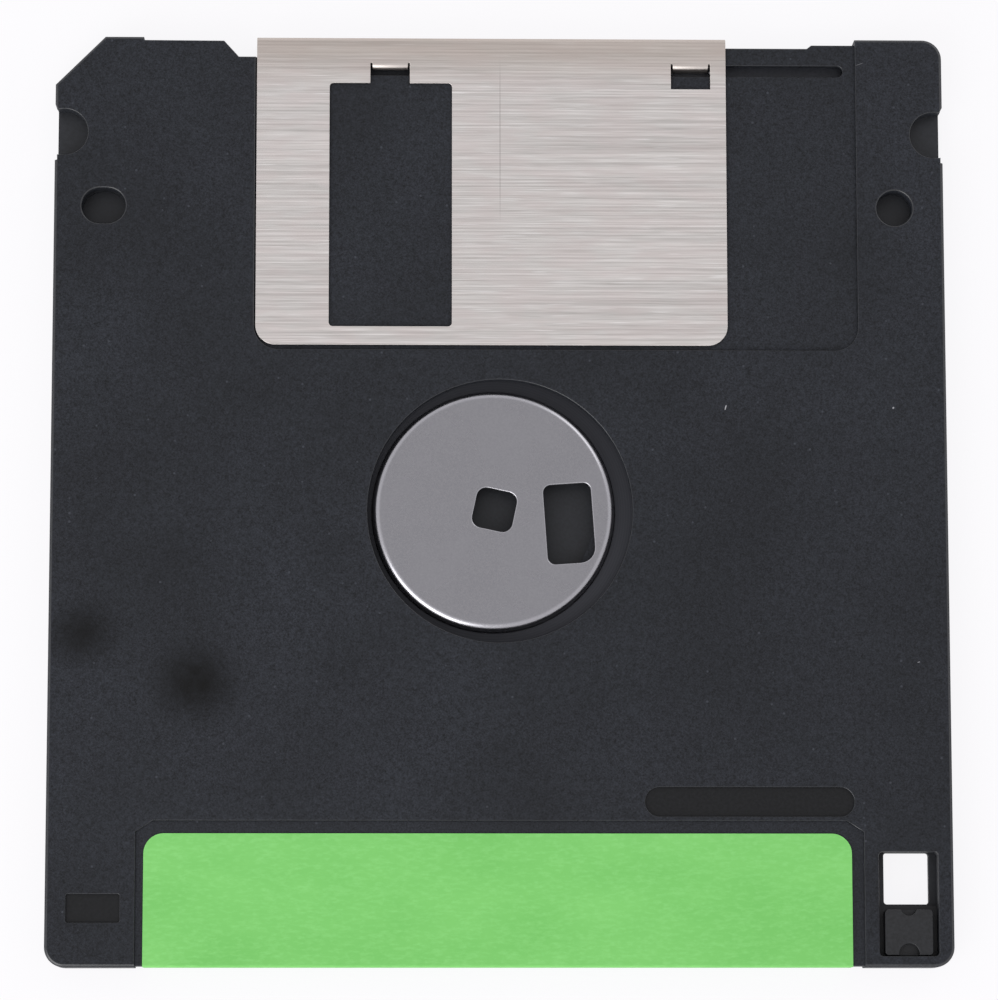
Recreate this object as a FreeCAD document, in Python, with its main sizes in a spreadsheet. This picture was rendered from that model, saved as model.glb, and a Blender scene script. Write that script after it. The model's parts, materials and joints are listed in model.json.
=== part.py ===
import FreeCAD, Part
import math
import os
import Sketcher

# Floppy disk, 3.5 inch, with a metal shutter. Millimetres, +Z up.
# The disk lies on its label side: x runs across it, y runs towards the shutter end and the hub side
# is on top. The origin is the centre of the underside's bounding box.

# Driving dimensions, one sheet cell each. A name with "from" is a distance in from that edge.
SIZES = {
    # Case.
    "case_width": 90.0,
    "case_length": 94.0,
    "case_thickness": 3.3,
    "corner_cut": 5.0,
    "corner_radius": 2.0,
    "edge_round": 0.4,
    "shell_floor": 0.95,
    "wall": 1.5,
    # Reference points of the drive interface.
    "locating_from_front": 17.5,
    "locating_from_side": 5.0,
    "hub_from_locating": 31.0,
    # Disc chamber.
    "chamber_wall": 1.1,
    "groove_wall": 0.55,
    "chamber_rib": 1.0,
    # Hollow corners outside the chamber and the ribs that weld the halves together.
    "pocket_width": 16.0,
    "pocket_length": 24.0,
    "weld_rib_length": 2.4,
    "weld_rib_width": 0.9,
    "weld_rib_inset": 3.6,
    # Head window, from the hub's axis.
    "head_window_width": 9.0,
    "head_window_inner": 19.7,
    "head_window_margin": 1.2,
    "head_window_corner": 0.6,
    # Locating holes and their bosses.
    "locating_radius": 1.8,
    "locating_slot_extra": 0.8,
    "locating_mouth": 0.15,
    "locating_boss_wall": 1.3,
    "locating_floor_step": 0.35,
    "locating_floor_depth": 0.45,
    # Handling notches in the sides.
    "handling_radius": 2.35,
    "handling_from_front": 9.92,
    "handling_inset": 1.0,
    "handling_boss_wall": 0.9,
    "handling_setback": 0.25,
    "handling_setback_length": 5.8,
    # Front edge.
    "front_step": 0.4,
    "front_step_start": 8.9,
    "front_track": 0.9,
    "front_ramp": 0.45,
    "front_ramp_from_recess": 4.85,
    "front_ramp_drop": 0.55,
    "lever_notch_depth": 2.05,
    "lever_notch_width": 1.85,
    "lever_notch_slope": 1.5,
    "lever_notch_under": 1.4,
    # Shutter: a frame of sheet round its window, which opens over the head window.
    "sheet": 0.2,
    "shutter_travel": 12.5,
    "shutter_corner": 2.0,
    "shutter_fold": 0.45,
    "shutter_sink": 0.05,
    "shutter_clearance": 0.1,
    "shutter_end_clearance": 0.67,
    "window_frame_left": 7.38,
    "window_frame_rear": 1.9,
    "window_open_margin": 0.24,
    "window_extra_width": 3.4,
    "window_extra_front": 1.05,
    "window_extra_rear": 1.0,
    "window_corner": 0.4,
    # Tabs bent in from the sheet.
    "tab_width": 3.6,
    "tab_nick": 0.2,
    "tab_nick_length": 0.55,
    "tab_floor_gap": 0.3,
    "tab_bend": 0.25,
    "guide_tab_from_left": 11.7,
    "spring_tab_from_right": 1.78,
    "spring_tab_window": 2.06,
    # Recess of the shutter in both faces.
    "recess_from_side": 8.85,
    "recess_side_gap": 0.12,
    "recess_rear_gap": 0.45,
    "recess_corner": 2.4,
    # Groove that guides the shutter's tabs.
    "groove_width": 1.13,
    "groove_depth": 0.9,
    "groove_from_front": 3.3,
    "groove_start_gap": 1.9,
    "groove_end_gap": 1.2,
    "spring_pocket_gap": 2.7,
    "spring_shelf_gap": 0.1,
    # Shutter spring.
    "spring_wire": 0.4,
    "spring_leg": 10.5,
    "spring_bend": 1.6,
    "spring_anchor_from_side": 8.6,
    "spring_anchor_from_front": 5.4,
    "spring_seat_gap": 0.08,
    # Hub, film and adhesive ring, from the hub outwards.
    "disc_offset": 0.65,
    "hub_sheet": 0.3,
    "hub_face_drop": 0.2,
    "hub_radius": 12.1,
    "hub_edge_round": 0.55,
    "hub_opening_gap": 1.2,
    "hub_flange_overlap": 1.5,
    "media_bore_gap": 0.15,
    "media_clearance": 1.0,
    "media_thickness": 0.08,
    "adhesive_thickness": 0.06,
    "adhesive_margin": 0.2,
    "spindle_hole": 4.05,
    "spindle_corner": 0.95,
    "spindle_aside": 0.1,
    "hub_twist": 12.0,
    "drive_slot_from_hub": 7.6,
    "drive_slot_side": 1.28,
    "drive_slot_width": 4.75,
    "drive_slot_length": 8.0,
    "drive_slot_corner": 0.75,
    "drive_slot_twist": 4.0,
    # Ring on the label-side shell that the hub drops over.
    "hub_rest_play": 1.25,
    "hub_rest_width": 1.0,
    "hub_rest_gap": 0.45,
    # Liners and lifter leaf.
    "liner_thickness": 0.2,
    "liner_clearance": 0.6,
    "liner_hub_gap": 0.4,
    "liner_flange_gap": 1.4,
    "liner_slot_margin": 0.7,
    "liner_slot_inner_margin": 1.1,
    "leaf_length": 18.0,
    "leaf_width": 11.0,
    "leaf_thickness": 0.12,
    "leaf_glued": 6.0,
    "leaf_pocket": 0.3,
    "leaf_margin": 0.6,
    "leaf_from_slot": 4.8,
    "leaf_behind_window": 9.7,
    # Write-protect slider, its channel and the hole that it covers.
    "slider_from_side": 4.5,
    "channel_from_rear": 1.0,
    "channel_width": 6.9,
    "channel_length": 10.5,
    "well_margin": 0.1,
    "well_side_margin": 0.5,
    "well_corner": 0.4,
    "slider_travel": 5.2,
    "slider_play": 0.1,
    "slider_stop_play": 0.15,
    "slider_side_play": 0.2,
    "slider_lift": 0.05,
    "slider_hole_width": 4.5,
    "slider_hole_margin": 0.1,
    "slider_hole_corner": 0.3,
    "slider_grip_width": 4.75,
    "slider_grip_front": 0.45,
    "slider_grip_drop": 0.2,
    "slider_grip_corner": 0.35,
    "nail_notch_radius": 0.8,
    "nail_notch_offset": 0.2,
    "nail_pit_radius": 1.0,
    "nail_pit_offset": 0.15,
    "nail_depth": 0.7,
    # Small recesses on the hub side.
    "pill_from_side": 9.8,
    "pill_width": 20.8,
    "pill_height": 2.9,
    "pill_gap": 0.45,
    "tag_from_side": 2.1,
    "tag_from_rear": 4.4,
    "tag_width": 5.3,
    "tag_height": 2.8,
    "tag_corner": 0.2,
    "small_recess_depth": 0.3,
    # Label recess and label.
    "label_recess_from_side": 8.9,
    "label_recess_depth": 0.25,
    "label_recess_edge": 0.15,
    "label_recess_back": 14.45,
    "label_recess_from_shutter": 5.65,
    "label_recess_cut_x": 1.7,
    "label_recess_cut_y": 1.1,
    "label_gap_left": 0.8,
    "label_gap_right": 1.2,
    "label_gap_back": 1.25,
    "label_gap_front": 1.4,
    "label_paper": 0.11,
    "label_corner": 2.0,
    "label_fold": 0.2,
    # Insertion arrow on the label side.
    "arrow_from_side": 7.5,
    "arrow_from_front": 12.6,
    "arrow_width": 3.4,
    "arrow_length": 3.8,
    "arrow_depth": 0.2,
    # How far a cut runs past the edge that it opens.
    "overcut": 1.0,
}


class Size:
    """A length that knows both its number and the sheet formula that gives it."""

    def __init__(self, value, text):
        self.value = value
        self.text = text

    def __add__(self, other):
        other = size(other)
        return Size(self.value + other.value, "(%s + %s)" % (self.text, other.text))

    def __sub__(self, other):
        other = size(other)
        return Size(self.value - other.value, "(%s - %s)" % (self.text, other.text))

    def __mul__(self, factor):
        return Size(self.value * factor, "(%s * %s)" % (self.text, factor))

    def __truediv__(self, factor):
        return Size(self.value / factor, "(%s / %s)" % (self.text, factor))

    def __neg__(self):
        return Size(-self.value, "(0 - %s)" % self.text)


def size(number):
    """Return a plain number as a Size; a Size stays as it is."""
    if isinstance(number, Size):
        return number
    return Size(float(number), str(number))


def least(*lengths):
    """Return the smallest of some lengths."""
    return Size(min(length.value for length in lengths), "min(%s)" % "; ".join(one.text for one in lengths))


doc = FreeCAD.newDocument("FloppyDisk")
sheet = doc.addObject("Spreadsheet::Sheet", "Sizes")
for row, (alias, number) in enumerate(SIZES.items(), start=1):
    sheet.set("A%d" % row, alias)
    sheet.set("B%d" % row, str(number))
    sheet.setAlias("B%d" % row, alias)
doc.recompute()


def cell(alias):
    """Return the sheet cell of that name as a Size."""
    return Size(float(sheet.get(alias)), "Sizes." + alias)


# Levels, from the underside up.
thickness = cell("case_thickness")
parting = thickness / 2
floor_low = cell("shell_floor")
floor_high = thickness - cell("shell_floor")
cavity_half = parting - cell("shell_floor")
recess_depth = cell("shutter_sink") + cell("sheet") + cell("shutter_clearance")
recess_floor = thickness - recess_depth
shutter_top = thickness - cell("shutter_sink")
media_low = parting - cell("media_thickness") / 2
flange_top = media_low - cell("adhesive_thickness")
hub_top = thickness - cell("hub_face_drop")

# Places across and along the case.
half_width = cell("case_width") / 2
front = cell("case_length") / 2
rear = -front
locating_x = half_width - cell("locating_from_side")
locating_y = front - cell("locating_from_front")
hub_y = locating_y - cell("hub_from_locating")
handling_y = front - cell("handling_from_front")
track_y = front - cell("front_track")
groove_y = front - cell("groove_from_front")
slider_x = half_width - cell("slider_from_side")
channel_rear = rear + cell("channel_from_rear")
channel_front = channel_rear + cell("channel_length")

# Radii round the hub's axis. The disc chamber is as large as the sides, the rear and the groove allow.
chamber_radius = least(
    half_width - cell("chamber_wall"),
    hub_y - rear - cell("chamber_wall"),
    groove_y - cell("groove_width") / 2 - cell("groove_wall") - hub_y,
)
media_radius = chamber_radius - cell("media_clearance")
liner_outer = chamber_radius - cell("liner_clearance")
head_window_outer = chamber_radius - cell("head_window_margin")
hub_radius = cell("hub_radius")
hub_opening = hub_radius + cell("hub_opening_gap")
flange_radius = hub_opening + cell("hub_flange_overlap")
media_bore = hub_radius + cell("media_bore_gap")

# The shutter's window lines up with the head window when the shutter is open.
window_left = -cell("head_window_width") / 2 - cell("shutter_travel") - cell("window_open_margin")
window_rear = hub_y + cell("head_window_inner") - cell("window_extra_rear")
window_front = hub_y + head_window_outer + cell("window_extra_front")
recess_right = half_width - cell("recess_from_side")
shutter_left = window_left - cell("window_frame_left")
shutter_right = recess_right - cell("shutter_end_clearance") - cell("shutter_travel")
shutter_rear = window_rear - cell("window_frame_rear")
recess_left = shutter_left - cell("recess_side_gap")
recess_rear = shutter_rear - cell("recess_rear_gap")
guide_tab_left = shutter_left + cell("guide_tab_from_left")
spring_tab_right = shutter_right - cell("spring_tab_from_right")
spring_tab_left = spring_tab_right - cell("tab_width")
bend_y = groove_y + cell("sheet") / 2
label_recess_half = half_width - cell("label_recess_from_side")
label_left = -label_recess_half + cell("label_gap_left")


def new_body(label):
    """Add an empty body; the label is the name of its node."""
    body = doc.addObject("PartDesign::Body", label)
    body.Label = label
    return body


def bind(item, path, length):
    """Bind one property of an object to its sheet formula."""
    item.setExpression(path, size(length).text)


def new_sketch(body, name, level, plane="XY_Plane"):
    """Add a sketch on one of the body's origin planes, at a level above it."""
    sketch = body.newObject("Sketcher::SketchObject", name)
    planes = [feature for feature in body.Origin.OriginFeatures if feature.Role == plane]
    sketch.AttachmentSupport = [(planes[0], "")]
    sketch.MapMode = "FlatFace"
    bind(sketch, "AttachmentOffset.Base.z", level)
    return sketch


def constrain(sketch, constraints):
    """Add the constraints; each is (constraint, Size or None) and a Size drives it."""
    first = sketch.ConstraintCount
    sketch.addConstraint([constraint for constraint, length in constraints])
    for index, (constraint, length) in enumerate(constraints, start=first):
        if length is not None:
            sketch.setExpression("Constraints[%d]" % index, length.text)


def place_point(geometry, point, x, y):
    """Return the two constraints that hold a point at x, y from the sketch's origin."""
    return [
        (Sketcher.Constraint("DistanceX", -1, 1, geometry, point, x.value), x),
        (Sketcher.Constraint("DistanceY", -1, 1, geometry, point, y.value), y),
    ]


def draw_circle(sketch, x, y, radius):
    """Draw a circle held by its centre and radius."""
    x, y, radius = size(x), size(y), size(radius)
    centre = FreeCAD.Vector(x.value, y.value, 0)
    index = sketch.addGeometry(Part.Circle(centre, FreeCAD.Vector(0, 0, 1), radius.value), False)
    held = place_point(index, 3, x, y)
    held.append((Sketcher.Constraint("Radius", index, radius.value), radius))
    constrain(sketch, held)


def draw_outline(sketch, corners):
    """Draw a closed outline of straight sides; a corner is (x, y) or (x, y, rounding)."""
    points = []
    for corner in corners:
        x, y = size(corner[0]), size(corner[1])
        rounding = size(corner[2]) if len(corner) > 2 and size(corner[2]).value > 0 else None
        points.append((x, y, rounding, FreeCAD.Vector(x.value, y.value, 0)))
    count = len(points)
    ends = []
    arcs = []
    for index, (x, y, rounding, here) in enumerate(points):
        if rounding is None:
            ends.append((here, here))
            arcs.append(None)
            continue
        back = (points[index - 1][3] - here).normalize()
        ahead = (points[(index + 1) % count][3] - here).normalize()
        half_angle = back.getAngle(ahead) / 2
        reach = rounding.value / math.tan(half_angle)
        centre = here + (back + ahead).normalize() * (rounding.value / math.sin(half_angle))
        start, end = here + back * reach, here + ahead * reach
        ends.append((start, end))
        turns_left = back.cross(ahead).z < 0
        first, last = (start, end) if turns_left else (end, start)
        angles = [math.atan2(point.y - centre.y, point.x - centre.x) for point in (first, last)]
        circle = Part.Circle(centre, FreeCAD.Vector(0, 0, 1), rounding.value)
        arcs.append((Part.ArcOfCircle(circle, angles[0], angles[1]), turns_left))
    lines = []
    for index in range(count):
        line = Part.LineSegment(ends[index][1], ends[(index + 1) % count][0])
        lines.append(sketch.addGeometry(line, False))
    held = []
    for index, (x, y, rounding, here) in enumerate(points):
        before, after = lines[index - 1], lines[index]
        if rounding is None:
            held.append((Sketcher.Constraint("Coincident", before, 2, after, 1), None))
            held.extend(place_point(after, 1, x, y))
            continue
        arc, turns_left = arcs[index]
        curve = sketch.addGeometry(arc, False)
        apex = sketch.addGeometry(Part.Point(here), True)
        near, far = (1, 2) if turns_left else (2, 1)
        held.append((Sketcher.Constraint("Tangent", before, 2, curve, near), None))
        held.append((Sketcher.Constraint("Tangent", curve, far, after, 1), None))
        held.append((Sketcher.Constraint("Radius", curve, rounding.value), rounding))
        held.append((Sketcher.Constraint("PointOnObject", apex, 1, before), None))
        held.append((Sketcher.Constraint("PointOnObject", apex, 1, after), None))
        held.extend(place_point(apex, 1, x, y))
    constrain(sketch, held)


def draw_box(sketch, x, y, width, length, rounding=0):
    """Draw a rectangle from its lower left corner, with all corners rounded alike."""
    x, y = size(x), size(y)
    right, top = x + width, y + length
    draw_outline(sketch, [(x, y, rounding), (right, y, rounding), (right, top, rounding), (x, top, rounding)])


def draw_slot(sketch, left, right, y, radius):
    """Draw a slot with round ends, centred on y, between the centres left and right."""
    left, right, y, radius = size(left), size(right), size(y), size(radius)
    low, high = y.value - radius.value, y.value + radius.value
    up = FreeCAD.Vector(0, 0, 1)
    start = Part.Circle(FreeCAD.Vector(left.value, y.value, 0), up, radius.value)
    end = Part.Circle(FreeCAD.Vector(right.value, y.value, 0), up, radius.value)
    quarter = math.pi / 2
    sketch.addGeometry([
        Part.LineSegment(FreeCAD.Vector(left.value, low, 0), FreeCAD.Vector(right.value, low, 0)),
        Part.ArcOfCircle(end, -quarter, quarter),
        Part.LineSegment(FreeCAD.Vector(right.value, high, 0), FreeCAD.Vector(left.value, high, 0)),
        Part.ArcOfCircle(start, quarter, 3 * quarter),
    ], False)
    joints = [(0, 2, 1, 1), (1, 2, 2, 1), (2, 2, 3, 1), (3, 2, 0, 1)]
    held = [(Sketcher.Constraint("Tangent", *joint), None) for joint in joints]
    held.append((Sketcher.Constraint("Radius", 1, radius.value), radius))
    held.extend(place_point(1, 3, right, y))
    held.extend(place_point(3, 3, left, y))
    constrain(sketch, held)


def pad(body, name, sketch, length, down=False):
    """Add material from the sketch, upwards unless down is set."""
    feature = body.newObject("PartDesign::Pad", name)
    feature.Profile = sketch
    bind(feature, "Length", length)
    feature.Reversed = down
    doc.recompute()
    return feature


def pocket(body, name, sketch, depth, up=False):
    """Take material away from the sketch, downwards unless up is set."""
    before = body.Shape.Volume
    feature = body.newObject("PartDesign::Pocket", name)
    feature.Profile = sketch
    bind(feature, "Length", depth)
    feature.Reversed = up
    doc.recompute()
    if not body.Shape.Volume < before:
        raise RuntimeError("%s takes nothing away from %s" % (name, body.Label))
    return feature


def edges_at(body, chosen):
    """Return the names of the body's edges that a test on the edge accepts."""
    names = []
    for index, edge in enumerate(body.Shape.Edges, start=1):
        if chosen(edge):
            names.append("Edge%d" % index)
    return names


def lies_at(level):
    """Return a test for edges that lie flat at one level."""
    wanted = size(level).value
    return lambda edge: max(abs(vertex.Point.z - wanted) for vertex in edge.Vertexes) < 1e-4


def dress(body, kind, name, chosen, path, length):
    """Add a fillet or a chamfer on the edges that a test accepts."""
    edges = edges_at(body, chosen)
    base = body.Tip
    feature = body.newObject("PartDesign::" + kind, name)
    feature.Base = (base, edges)
    bind(feature, path, length)
    doc.recompute()
    return feature


def case_outline(sketch):
    """Draw the case's outline: three round corners and the cut one."""
    cut = cell("corner_cut")
    rounding = cell("corner_radius")
    draw_outline(sketch, [
        (-half_width, rear, rounding),
        (half_width, rear, rounding),
        (half_width, front, rounding),
        (-half_width + cut, front),
        (-half_width, front - cut),
    ])


def corner_pockets():
    """Return the outlines of the hollow corners; the slider's corner stays solid."""
    wall = cell("wall")
    width = cell("pocket_width")
    length = cell("pocket_length")
    left, right = -half_width + wall, half_width - wall
    low, high = rear + wall, track_y - cell("wall")
    cut = cell("corner_cut") - wall / 2
    rounding = cell("corner_radius")
    spring_left = spring_tab_left - cell("spring_pocket_gap")
    return [
        [(left, high - length), (left + width, high - length), (left + width, high),
         (left + cut, high), (left, high - cut)],
        [(spring_left, high - length), (right, high - length), (right, high, rounding), (spring_left, high)],
        [(left, low, rounding), (left + width, low), (left + width, low + length), (left, low + length)],
    ]


def weld_ribs():
    """Return the centres of the short ribs that weld the halves together in the corners."""
    inset = cell("weld_rib_inset")
    return [
        (-half_width + inset, front - cell("corner_cut") - inset),
        (half_width - inset, front - inset),
        (-half_width + inset, rear + inset),
    ]


class Shell:
    """One moulded half of the case; the outer face is on top on the hub side, below on the other."""

    def __init__(self, label, hub_side):
        self.hub_side = hub_side
        self.outer = thickness if hub_side else size(0)
        self.body = new_body(label)

    def sketch(self, name, level):
        return new_sketch(self.body, name, level)

    def cut_face(self, name, sketch, depth):
        """Cut from the outer face inwards."""
        return pocket(self.body, name, sketch, depth, up=not self.hub_side)

    def cut_inside(self, name, sketch, depth):
        """Cut from the sketch's level outwards."""
        return pocket(self.body, name, sketch, depth, up=self.hub_side)

    def cut_half(self, name, sketch):
        """Cut the whole half from the parting plane to the outer face."""
        return self.cut_inside(name, sketch, parting)

    def add_inside(self, name, sketch):
        """Fill from the parting plane out to the inner face of the floor."""
        return pad(self.body, name, sketch, cavity_half, down=not self.hub_side)

    def build(self, label_reach):
        """Build what both halves share."""
        self.build_blank()
        self.build_cavity()
        self.build_bosses()
        self.build_front_edge()
        self.build_side_setbacks()
        self.build_shutter_recess()
        self.build_head_window()
        self.build_label_recess(label_reach)

    def build_blank(self):
        """Pad the half and round the outer rim."""
        sketch = self.sketch("outline", parting)
        case_outline(sketch)
        pad(self.body, "half", sketch, parting, down=not self.hub_side)
        dress(self.body, "Fillet", "rim", lies_at(self.outer), "Radius", cell("edge_round"))

    def build_cavity(self):
        """Hollow the corners, put the rib round the disc back in, and open the disc chamber."""
        corners = self.sketch("corner_pockets", parting)
        for outline in corner_pockets():
            draw_outline(corners, outline)
        self.cut_inside("corners", corners, cavity_half)
        rib = self.sketch("chamber_rib_circle", parting)
        draw_circle(rib, 0, hub_y, chamber_radius + cell("chamber_rib"))
        self.add_inside("rib", rib)
        chamber = self.sketch("chamber_circle", parting)
        draw_circle(chamber, 0, hub_y, chamber_radius)
        self.cut_inside("chamber", chamber, cavity_half)

    def build_bosses(self):
        """Add the bosses of the holes and notches, and the weld ribs that meet their twins."""
        bosses = self.sketch("boss_circles", parting)
        for x in (-locating_x, locating_x):
            draw_circle(bosses, x, locating_y, cell("locating_radius") + cell("locating_boss_wall"))
        self.add_inside("bosses", bosses)
        notches = self.sketch("notch_boxes", parting)
        side = cell("wall") / 2
        around = cell("handling_radius") + cell("handling_boss_wall")
        reach = cell("handling_inset") + around - side
        for x in (-half_width + side, half_width - side - reach):
            draw_box(notches, x, handling_y - around, reach, around * 2)
        self.add_inside("notch_bosses", notches)
        ribs = self.sketch("weld_rib_boxes", parting)
        width, length = cell("weld_rib_width"), cell("weld_rib_length")
        for x, y in weld_ribs():
            draw_box(ribs, x - width / 2, y - length / 2, width, length)
        self.add_inside("weld_ribs", ribs)

    def build_front_edge(self):
        """Cut the front edge: the step, the lever notch, the shutter's track and its ramp."""
        edge = self.sketch("front_edge", parting)
        beyond = front + cell("overcut")
        step_y = front - cell("front_step")
        step_x = -half_width + cell("front_step_start")
        notch_right = shutter_left + cell("lever_notch_under")
        notch_left = shutter_left - cell("lever_notch_width")
        notch_y = front - cell("lever_notch_depth")
        ramp_y = front - cell("front_ramp_drop")
        ramp_x = recess_right - cell("front_ramp_from_recess")
        draw_outline(edge, [
            (step_x, step_y),
            (notch_left - cell("lever_notch_slope"), step_y),
            (notch_left, notch_y),
            (notch_right, notch_y),
            (notch_right, track_y),
            (ramp_x, track_y),
            (ramp_x + cell("front_ramp"), ramp_y),
            (recess_right, ramp_y),
            (recess_right, beyond),
            (step_x, beyond),
        ])
        self.cut_half("front_edge_cut", edge)

    def build_side_setbacks(self):
        """Set the side edges back a little at the handling notches."""
        sides = self.sketch("side_setbacks", parting)
        setback, length = cell("handling_setback"), cell("handling_setback_length")
        overcut = cell("overcut")
        for x in (-half_width - overcut, half_width - setback):
            draw_box(sides, x, handling_y - length / 2, setback + overcut, length)
        self.cut_half("side_setback_cut", sides)

    def build_shutter_recess(self):
        """Sink the outer face where the shutter slides."""
        recess = self.sketch("shutter_recess", self.outer)
        corner = cell("recess_corner")
        beyond = front + cell("overcut")
        draw_outline(recess, [
            (recess_left, recess_rear, corner),
            (recess_right, recess_rear, corner),
            (recess_right, beyond),
            (recess_left, beyond),
        ])
        self.cut_face("recess", recess, recess_depth)

    def build_head_window(self):
        """Open the window through which the head reaches the film."""
        window = self.sketch("head_window", parting)
        width = cell("head_window_width")
        inner = cell("head_window_inner")
        length = head_window_outer - inner
        draw_box(window, -width / 2, hub_y + inner, width, length, cell("head_window_corner"))
        self.cut_half("head_window_cut", window)

    def build_label_recess(self, top):
        """Sink the outer face for the label, from over the rear edge up to a place along the case."""
        overcut = cell("overcut")
        cut_x, cut_y = cell("label_recess_cut_x"), cell("label_recess_cut_y")
        half = label_recess_half
        face = self.sketch("label_recess", self.outer)
        draw_outline(face, [
            (-half, rear - overcut), (half, rear - overcut), (half, top - cut_y), (half - cut_x, top),
            (-half + cut_x, top), (-half, top - cut_y),
        ])
        self.cut_face("label_recess_cut", face, cell("label_recess_depth"))
        edge = self.sketch("label_edge", parting)
        draw_box(edge, -half, rear - overcut, half * 2, cell("label_recess_edge") + overcut)
        self.cut_half("label_edge_cut", edge)


def build_hub_side_shell():
    """Build the half that faces the drive's spindle."""
    shell = Shell("hub_side_shell", hub_side=True)
    shell.build(rear + cell("label_recess_back"))
    opening = shell.sketch("hub_opening", parting)
    draw_circle(opening, 0, hub_y, hub_opening)
    shell.cut_half("hub_opening_cut", opening)
    build_handling_notches(shell)
    build_locating_holes(shell)
    build_tab_groove(shell)
    build_small_recesses(shell)
    well = shell.sketch("slider_well", parting)
    margin = cell("well_margin")
    width = cell("channel_width") - cell("well_side_margin") * 2
    draw_box(well, slider_x - width / 2, channel_rear + margin, width,
             cell("channel_length") - margin * 2, cell("well_corner"))
    shell.cut_half("slider_well_cut", well)
    return shell.body


def build_handling_notches(shell):
    """Cut the two D-shaped finger notches in the sides, down to the parting plane."""
    radius = cell("handling_radius")
    reach = half_width + radius * 2
    inner = half_width - cell("handling_inset")
    for side, left, right in (("left", -reach, -inner), ("right", inner, reach)):
        notch = shell.sketch("handling_notch_" + side, parting)
        draw_slot(notch, left, right, handling_y, radius)
        shell.cut_half("handling_cut_" + side, notch)


def build_locating_holes(shell):
    """Bore the round primary hole and the oval secondary one, with eased mouths."""
    radius = cell("locating_radius")
    half_extra = cell("locating_slot_extra") / 2
    primary = shell.sketch("primary_hole", parting)
    draw_circle(primary, locating_x, locating_y, radius)
    shell.cut_half("primary_bore", primary)
    oval = shell.sketch("secondary_hole", parting)
    draw_slot(oval, -locating_x - half_extra, -locating_x + half_extra, locating_y, radius)
    shell.cut_half("secondary_bore", oval)
    reach_x = radius.value + half_extra.value + 0.01
    reach_y = radius.value + 0.01

    def at_mouth(edge):
        centre = edge.BoundBox.Center
        beside = abs(abs(centre.x) - locating_x.value) < reach_x and abs(centre.y - locating_y.value) < reach_y
        return beside and lies_at(thickness)(edge)

    dress(shell.body, "Chamfer", "mouths", at_mouth, "Size", cell("locating_mouth"))


def build_tab_groove(shell):
    """Cut the groove of the shutter's tabs; over the spring's pocket it opens into the inside."""
    radius = cell("groove_width") / 2
    start = guide_tab_left - cell("groove_start_gap")
    end = spring_tab_right + cell("shutter_travel") + cell("groove_end_gap")
    groove = shell.sketch("tab_groove", recess_floor)
    draw_slot(groove, start + radius, end - radius, groove_y, radius)
    shell.cut_face("tab_groove_cut", groove, cell("groove_depth"))


def build_small_recesses(shell):
    """Sink the two small fields for moulded words; they stay bare."""
    depth = cell("small_recess_depth")
    radius = cell("pill_height") / 2
    right = half_width - cell("pill_from_side")
    pill_y = rear + cell("label_recess_back") + cell("pill_gap") + radius
    pill = shell.sketch("pill", thickness)
    draw_slot(pill, right - cell("pill_width") + radius, right - radius, pill_y, radius)
    shell.cut_face("pill_cut", pill, depth)
    tag = shell.sketch("tag", thickness)
    draw_box(tag, -half_width + cell("tag_from_side"), rear + cell("tag_from_rear"), cell("tag_width"),
             cell("tag_height"), cell("tag_corner"))
    shell.cut_face("tag_cut", tag, depth)


def build_label_side_shell():
    """Build the half that carries the label's front part."""
    shell = Shell("label_side_shell", hub_side=False)
    shell.build(recess_rear - cell("label_recess_from_shutter"))
    floors = shell.sketch("locating_floors", parting)
    for x in (-locating_x, locating_x):
        draw_circle(floors, x, locating_y, cell("locating_radius") - cell("locating_floor_step"))
    shell.cut_inside("locating_floor_cut", floors, cell("locating_floor_depth"))
    build_hub_rest(shell)
    build_spring_shelf(shell)
    build_leaf_pocket(shell)
    build_slider_channel(shell)
    build_arrow(shell)
    return shell.body


def build_hub_rest(shell):
    """Stand a low ring on the floor that keeps the hub near its place."""
    outer = hub_radius - cell("hub_sheet") - cell("hub_rest_play")
    ring = shell.sketch("hub_rest_ring", floor_low)
    draw_circle(ring, 0, hub_y, outer)
    draw_circle(ring, 0, hub_y, outer - cell("hub_rest_width"))
    pad(shell.body, "hub_rest", ring, hub_top - cell("hub_sheet") - cell("hub_rest_gap") - floor_low)


def build_spring_shelf(shell):
    """Raise the floor under the tabs' groove to just below the spring."""
    left = spring_tab_left - cell("spring_pocket_gap")
    right = spring_tab_right + cell("shutter_travel") + cell("groove_end_gap")
    low_y = groove_y - cell("groove_width")
    shelf = shell.sketch("spring_shelf", floor_low)
    draw_box(shelf, left, low_y, right - left, track_y - cell("wall") - low_y)
    top = parting - cell("spring_wire") / 2 - cell("spring_shelf_gap")
    pad(shell.body, "spring_shelf_pad", shelf, top - floor_low)


def leaf_corner():
    """Return the left rear corner of the lifter leaf, beside the liner's slot for the heads."""
    right = -cell("head_window_width") / 2 - cell("liner_slot_margin") - cell("leaf_from_slot")
    middle = hub_y + (head_window_outer + cell("head_window_inner")) / 2 - cell("leaf_behind_window")
    return right - cell("leaf_length"), middle - cell("leaf_width") / 2


def build_leaf_pocket(shell):
    """Sink the floor under the lifter leaf."""
    left, low = leaf_corner()
    margin = cell("leaf_margin")
    leaf = shell.sketch("leaf_pocket", floor_low)
    draw_box(leaf, left - margin, low - margin, cell("leaf_length") + margin * 2,
             cell("leaf_width") + margin * 2)
    shell.cut_inside("leaf_pocket_cut", leaf, cell("leaf_pocket"))


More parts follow.
